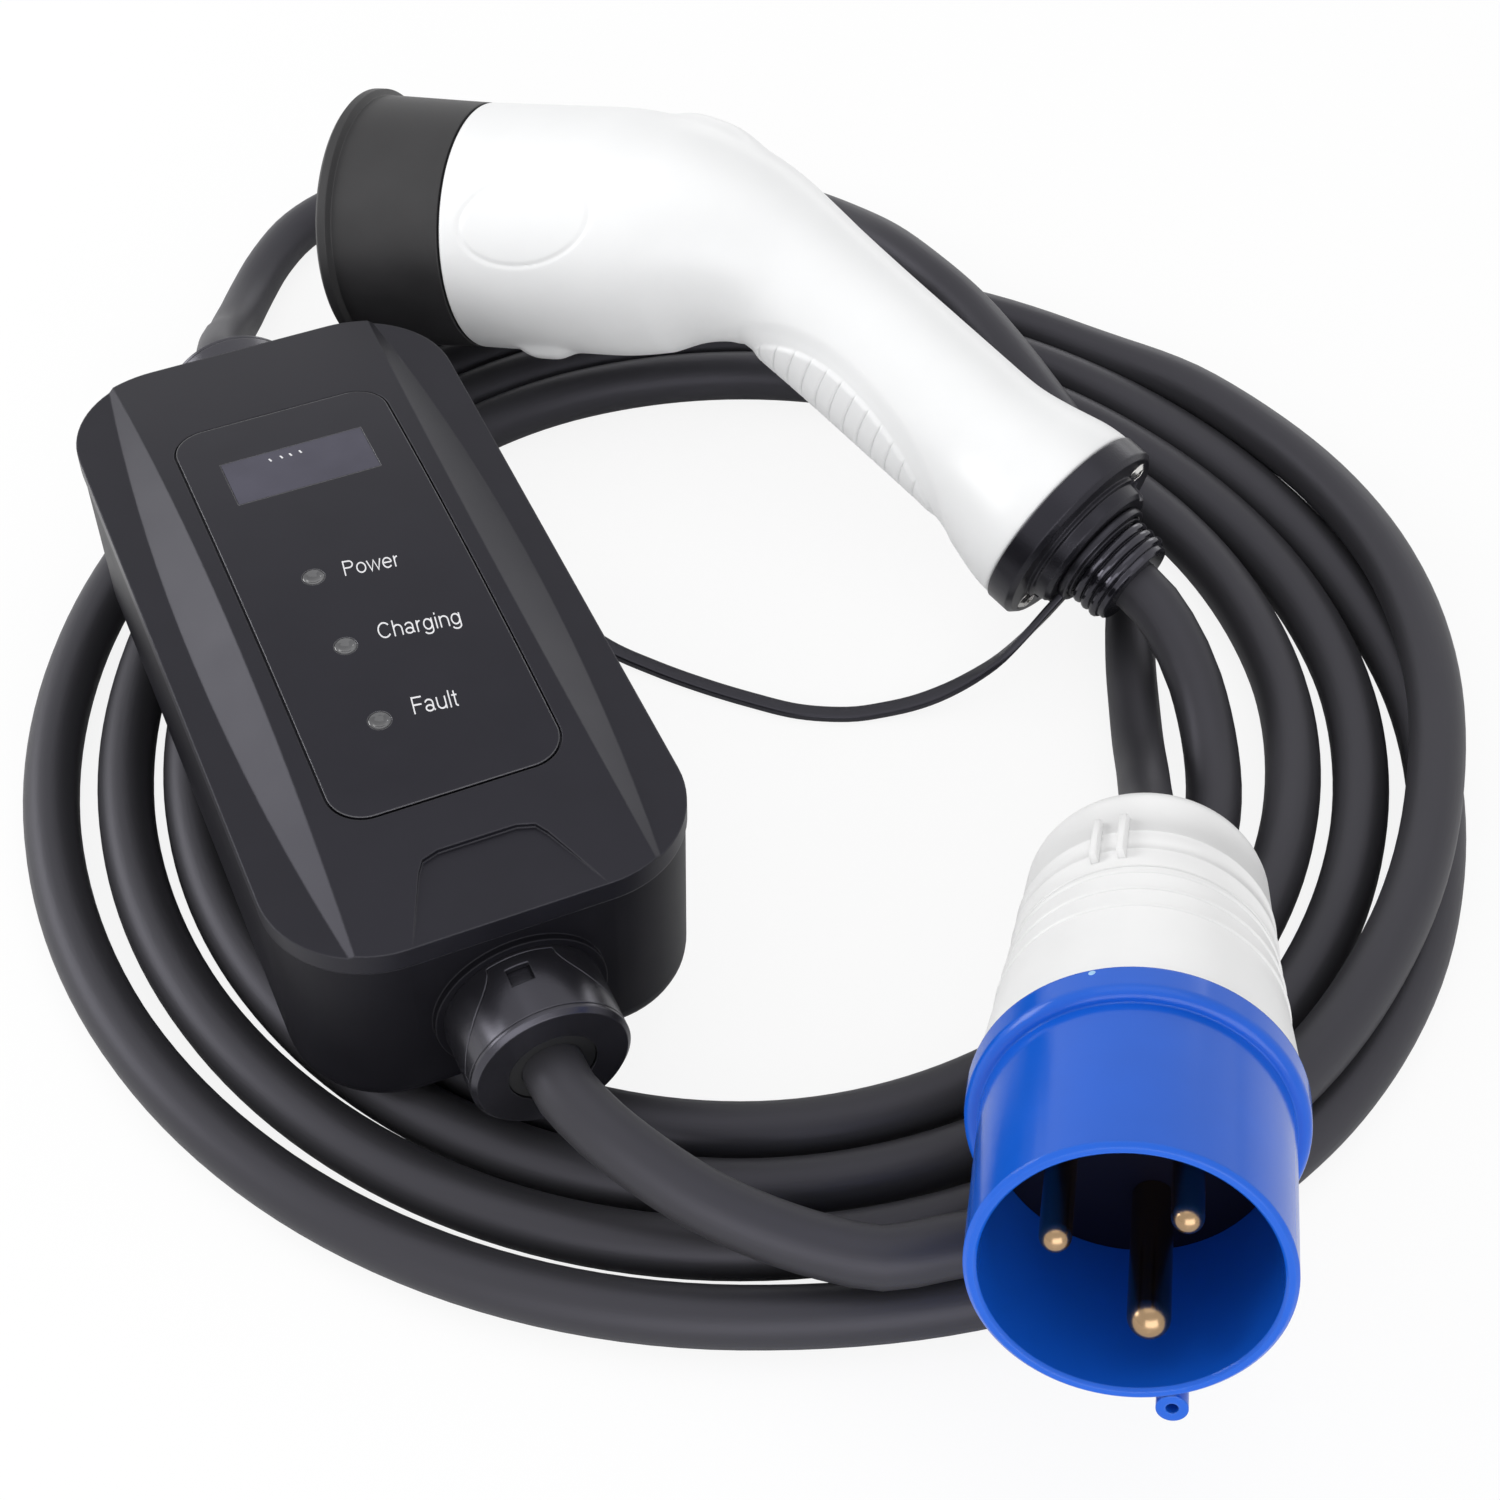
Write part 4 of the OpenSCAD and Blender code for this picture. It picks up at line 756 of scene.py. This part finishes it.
def strap_mesh():
    """The strap as a swept section with rounded edges, edge on at its ring and flat further on."""
    section = rounded([(-STRAP_W / 2, -STRAP_T / 2), (STRAP_W / 2, -STRAP_T / 2),
                       (STRAP_W / 2, STRAP_T / 2), (-STRAP_W / 2, STRAP_T / 2)], STRAP_ROUND, 4)
    ahead = np.gradient(strap_path, axis=0)
    ahead /= np.linalg.norm(ahead, axis=1)[:, None]
    run = np.concatenate([[0], np.cumsum(np.linalg.norm(np.diff(strap_path, axis=0), axis=1))])
    verts = []
    for point, forward, along in zip(strap_path, ahead, run):
        flat = np.cross((0, 0, 1.0), forward)
        flat /= np.linalg.norm(flat)
        w = min(max((along - TWIST_FROM) / TWIST_L, 0), 1)
        side = (1 - w) * np.array(strap_across) + w * flat
        side -= forward * side.dot(forward)
        side /= np.linalg.norm(side)
        over = np.cross(forward, side)
        verts += [point + (q[0] * side + q[1] * over) * MM for q in section]
    n = len(section)
    faces = grid_faces(len(strap_path), n)
    faces.append(tuple(range(n)))
    faces.append(tuple(len(verts) - 1 - j for j in range(n)))
    inner = NECK_R + RING_GAP
    outer_r = NECK_R + RING_W
    foot = STRAP_AT - RING_T / 2
    corners = [(inner, 0), (outer_r, 0), (outer_r, RING_T), (inner, RING_T)]
    ring = [(r, foot + z) for r, z in rounded(corners, RING_ROUND, 4)]
    first = len(verts)
    ring_verts, ring_faces = turned_mesh(ring, GUN_END, RING_TURNS)
    verts += ring_verts
    faces += [tuple(first + k for k in f) for f in ring_faces]
    return verts, faces


strap = piece_of("cap_tether", *strap_mesh(), strap_rubber)
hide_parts("cap_strap")
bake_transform(strap)

# Words beside the lenses, and the display's marks.

BOX_H = 51.0
LID_ARCH = 6.5
ARCH_RISE = 6.0
HALF_L = 97.0
ARCH_R = (HALF_L ** 2 + ARCH_RISE ** 2) / (2 * ARCH_RISE)
PANEL_RISE = 0.2


def panel_top(y):
    return BOX_H + LID_ARCH - ARCH_R + math.sqrt(ARCH_R ** 2 - y * y) + PANEL_RISE


def on_panel(x, y, lift=0.0):
    return BOX @ Vector((x, y, panel_top(y) + lift))


def arc(x, y, wide, high, start, stop):
    """Points on an ellipse from one angle to another, in degrees."""
    count = max(int(abs(stop - start) / 12), 2)
    angles = [math.radians(start + (stop - start) * k / count) for k in range(count + 1)]
    return [(x + wide * math.cos(a), y + high * math.sin(a)) for a in angles]


def printed(name, strokes, width, where, material):
    """Flat printed lines: strokes in a flat plan, and where that plan's points lie on the panel."""
    verts, faces = [], []
    for stroke in strokes:
        line = np.array(stroke, float)
        along = np.diff(line, axis=0)
        along /= np.linalg.norm(along, axis=1)[:, None]
        first = len(verts)
        for k, point in enumerate(line):
            before = along[max(k - 1, 0)]
            after = along[min(k, len(along) - 1)]
            ahead = (before + after) / np.linalg.norm(before + after)
            spread = width / 2 / max(float(ahead.dot(after)), 0.5)
            side = np.array((-ahead[1], ahead[0])) * spread
            for lift in (PRINT_LIFT, 0.0):
                for edge in (side, -side):
                    x, y = where(*(point + edge))
                    verts.append(on_panel(x, y, lift))
        for k in range(len(line) - 1):
            a = first + 4 * k
            faces += [(a, a + 4, a + 5, a + 1), (a + 2, a + 3, a + 7, a + 6)]
            faces += [(a, a + 2, a + 6, a + 4), (a + 1, a + 5, a + 7, a + 3)]
        last = first + 4 * (len(line) - 1)
        faces += [(first, first + 1, first + 3, first + 2), (last, last + 2, last + 3, last + 1)]
    made = piece_of(name, verts, faces, material, smooth=False)
    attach(made, "charger")


# Letters as their width and strokes, one unit from the foot of a capital to its top.
STEM = [(0.12, 0.0), (0.12, 0.73)]
ARCH_STROKE = [(0.12, 0.42)] + arc(0.385, 0.43, 0.265, 0.25, 180, 0) + [(0.65, 0.0)]
LETTERS = {
    "P": (0.90, [[(0.15, 0), (0.15, 1)],
                 [(0.15, 0.945), (0.5, 0.945)] + arc(0.5, 0.725, 0.26, 0.22, 75, -75)
                 + [(0.5, 0.505), (0.15, 0.505)]]),
    "o": (0.774, [arc(0.387, 0.365, 0.29, 0.325, 0, 360)]),
    "w": (1.0, [[(0.05, 0.73), (0.28, 0.03), (0.503, 0.7), (0.727, 0.03), (0.956, 0.73)]]),
    "e": (0.774, [[(0.1, 0.39), (0.67, 0.39)], arc(0.387, 0.365, 0.285, 0.325, 5, 320)]),
    "r": (0.464, [STEM, arc(0.34, 0.4, 0.22, 0.27, 180, 85)]),
    "C": (1.0, [arc(0.51, 0.5, 0.4, 0.455, 38, 322)]),
    "h": (0.774, [[(0.12, 0), (0.12, 1)], ARCH_STROKE]),
    "a": (0.774, [arc(0.36, 0.5, 0.24, 0.19, 165, 0) + [(0.6, 0.12), (0.68, 0.04)],
                  arc(0.35, 0.2, 0.235, 0.165, 0, 360)]),
    "g": (0.774, [arc(0.37, 0.375, 0.265, 0.315, 0, 360),
                  [(0.65, 0.73), (0.65, -0.02)] + arc(0.37, -0.03, 0.28, 0.19, -10, -165)]),
    "i": (0.309, [[(0.155, 0), (0.155, 0.73)], [(0.155, 0.88), (0.155, 1)]]),
    "n": (0.774, [STEM, ARCH_STROKE]),
    "F": (0.82, [[(0.15, 0), (0.15, 1)], [(0.15, 0.945), (0.78, 0.945)],
                 [(0.15, 0.515), (0.7, 0.515)]]),
    "u": (0.774, [[(0.12, 0.73)] + arc(0.385, 0.3, 0.265, 0.25, 180, 345), [(0.65, 0.73), (0.65, 0)]]),
    "l": (0.309, [[(0.155, 0), (0.155, 1)]]),
    "t": (0.387, [[(0.19, 0.93), (0.19, 0.17)] + arc(0.31, 0.17, 0.12, 0.12, 190, 280),
                  [(0.02, 0.68), (0.36, 0.68)]]),
}
LETTER_W = 3.3
LETTER_H = 4.9
LETTER_STROKE = 0.088
WORD_TURN = math.radians(-8)
PRINT_LIFT = 0.05
WORDS = [("Power", -2.4, 3.7), ("Charging", -1.4, -18.0), ("Fault", -1.6, -41.4)]


def word_at(left, foot):
    """Where a word's own plan lies on the panel, from the corner at its left foot."""
    c = math.cos(WORD_TURN)
    n = math.sin(WORD_TURN)

    def lay(u, v):
        x = u * LETTER_W
        y = v * LETTER_H
        return left + x * c - y * n, foot + x * n + y * c

    return lay


for word, left, foot in WORDS:
    strokes = []
    pen = 0.0
    for letter in word:
        advance, drawn = LETTERS[letter]
        strokes += [[(pen + u, v) for u, v in stroke] for stroke in drawn]
        pen += advance
    printed("word_" + word.lower(), strokes, LETTER_STROKE, word_at(left, foot), legend_white)

DISPLAY_MARKS = [(-5.7, 48.7), (-3.0, 48.7), (-0.8, 48.7), (1.6, 48.8)]
MARK_W, MARK_LEAN, MARK_L = 0.4, 0.3, 1.1
marks = [[(x, y), (x - MARK_LEAN, y + MARK_L)] for x, y in DISPLAY_MARKS]
printed("display_marks", marks, MARK_W, lambda x, y: (x, y), legend_white)

# Indicator lenses: shallow dishes that catch the light on their near side.
LENS_X = -8.6
LENS_Y = 6.2
LENS_PITCH = 23.2
DISH = [(2.38, -1.2), (2.38, -0.05), (2.25, 0.04), (2.0, 0.0), (1.6, -0.28), (1.0, -0.5), (0.4, -0.58),
        (0.02, -0.6), (0.02, -1.2)]
for k in range(3):
    y = LENS_Y - k * LENS_PITCH
    slope = Matrix.Rotation(-math.asin(y / ARCH_R), 4, "X")
    seat = BOX @ Matrix.Translation((LENS_X, y, panel_top(y))) @ slope
    lens = lathe("indicator_lens_%d" % (k + 1), DISH, seat, lens_clear, 48)
    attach(lens, "charger")
    if k == 0:
        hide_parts("indicator_lenses")

# Floor, world and lights

FLOOR_HALF = 6
FLOOR_DROP = 0.0003
FLOOR_GLOW = 0.88
floor_corners = [(FLOOR_HALF * x, FLOOR_HALF * y, 0) for x, y in ((-1, -1), (1, -1), (1, 1), (-1, 1))]
floor_mesh = bpy.data.meshes.new("floor")
floor_mesh.from_pydata(floor_corners, [], [(0, 1, 2, 3)])
floor = bpy.data.objects.new("floor", floor_mesh)
floor.location.z = -FLOOR_DROP
bpy.context.scene.collection.objects.link(floor)
ground = bpy.data.materials.new("floor")
ground.use_nodes = True
links = ground.node_tree.links
floor_shader = ground.node_tree.nodes["Principled BSDF"]
floor_shader.inputs["Base Color"].default_value = (0.94, 0.94, 0.94, 1)
floor_shader.inputs["Roughness"].default_value = 0.9
floor_shader.inputs["Specular IOR Level"].default_value = 0.1
bright = ground.node_tree.nodes.new("ShaderNodeEmission")
bright.inputs["Strength"].default_value = 1.0
rays = ground.node_tree.nodes.new("ShaderNodeLightPath")
seen = ground.node_tree.nodes.new("ShaderNodeMath")
seen.operation = "MULTIPLY"
seen.inputs[1].default_value = FLOOR_GLOW
links.new(rays.outputs["Is Camera Ray"], seen.inputs[0])
mix = ground.node_tree.nodes.new("ShaderNodeMixShader")
links.new(seen.outputs["Value"], mix.inputs["Fac"])
links.new(floor_shader.outputs["BSDF"], mix.inputs[1])
links.new(bright.outputs["Emission"], mix.inputs[2])
links.new(mix.outputs["Shader"], ground.node_tree.nodes["Material Output"].inputs["Surface"])
floor_mesh.materials.append(ground)

WORLD_LIGHT = 0.69
world = bpy.data.worlds.new("studio")
bpy.context.scene.world = world
world.use_nodes = True
tree = world.node_tree
sky = tree.nodes["Background"]
sky.inputs["Color"].default_value = (1, 1, 1, 1)
sky.inputs["Strength"].default_value = WORLD_LIGHT
white = tree.nodes.new("ShaderNodeBackground")
white.inputs["Color"].default_value = (1, 1, 1, 1)
white.inputs["Strength"].default_value = 1.0
path = tree.nodes.new("ShaderNodeLightPath")
either = tree.nodes.new("ShaderNodeMath")
either.operation = "MAXIMUM"
tree.links.new(path.outputs["Is Camera Ray"], either.inputs[0])
tree.links.new(path.outputs["Is Transmission Ray"], either.inputs[1])
any_ray = tree.nodes.new("ShaderNodeMath")
any_ray.operation = "MAXIMUM"
tree.links.new(either.outputs["Value"], any_ray.inputs[0])
tree.links.new(path.outputs["Is Glossy Ray"], any_ray.inputs[1])
blend_world = tree.nodes.new("ShaderNodeMixShader")
tree.links.new(any_ray.outputs["Value"], blend_world.inputs["Fac"])
tree.links.new(sky.outputs["Background"], blend_world.inputs[1])
tree.links.new(white.outputs["Background"], blend_world.inputs[2])
tree.links.new(blend_world.outputs["Shader"], tree.nodes["World Output"].inputs["Surface"])


LAMP_AIM = Vector((0, 0, 0.03))


def softbox(name, place, size, watts):
    """A rectangular lamp that faces the object."""
    data = bpy.data.lights.new(name, "AREA")
    data.shape = "RECTANGLE"
    data.size = size[0]
    data.size_y = size[1]
    data.energy = watts
    lamp = bpy.data.objects.new(name, data)
    lamp.location = place
    lamp.rotation_euler = (LAMP_AIM - lamp.location).to_track_quat("-Z", "Y").to_euler()
    bpy.context.scene.collection.objects.link(lamp)


softbox("overhead", Vector((0.0, 0.1, 1.4)), (1.3, 1.1), 2.6)
softbox("left", Vector((-1.16, 0.20, 0.53)), (1.0, 0.45), 7.0)
softbox("right", Vector((0.5, 1.35, 0.25)), (0.9, 0.4), 1.5)
softbox("front", Vector((0.2, -1.3, 0.45)), (1.4, 0.8), 8.0)
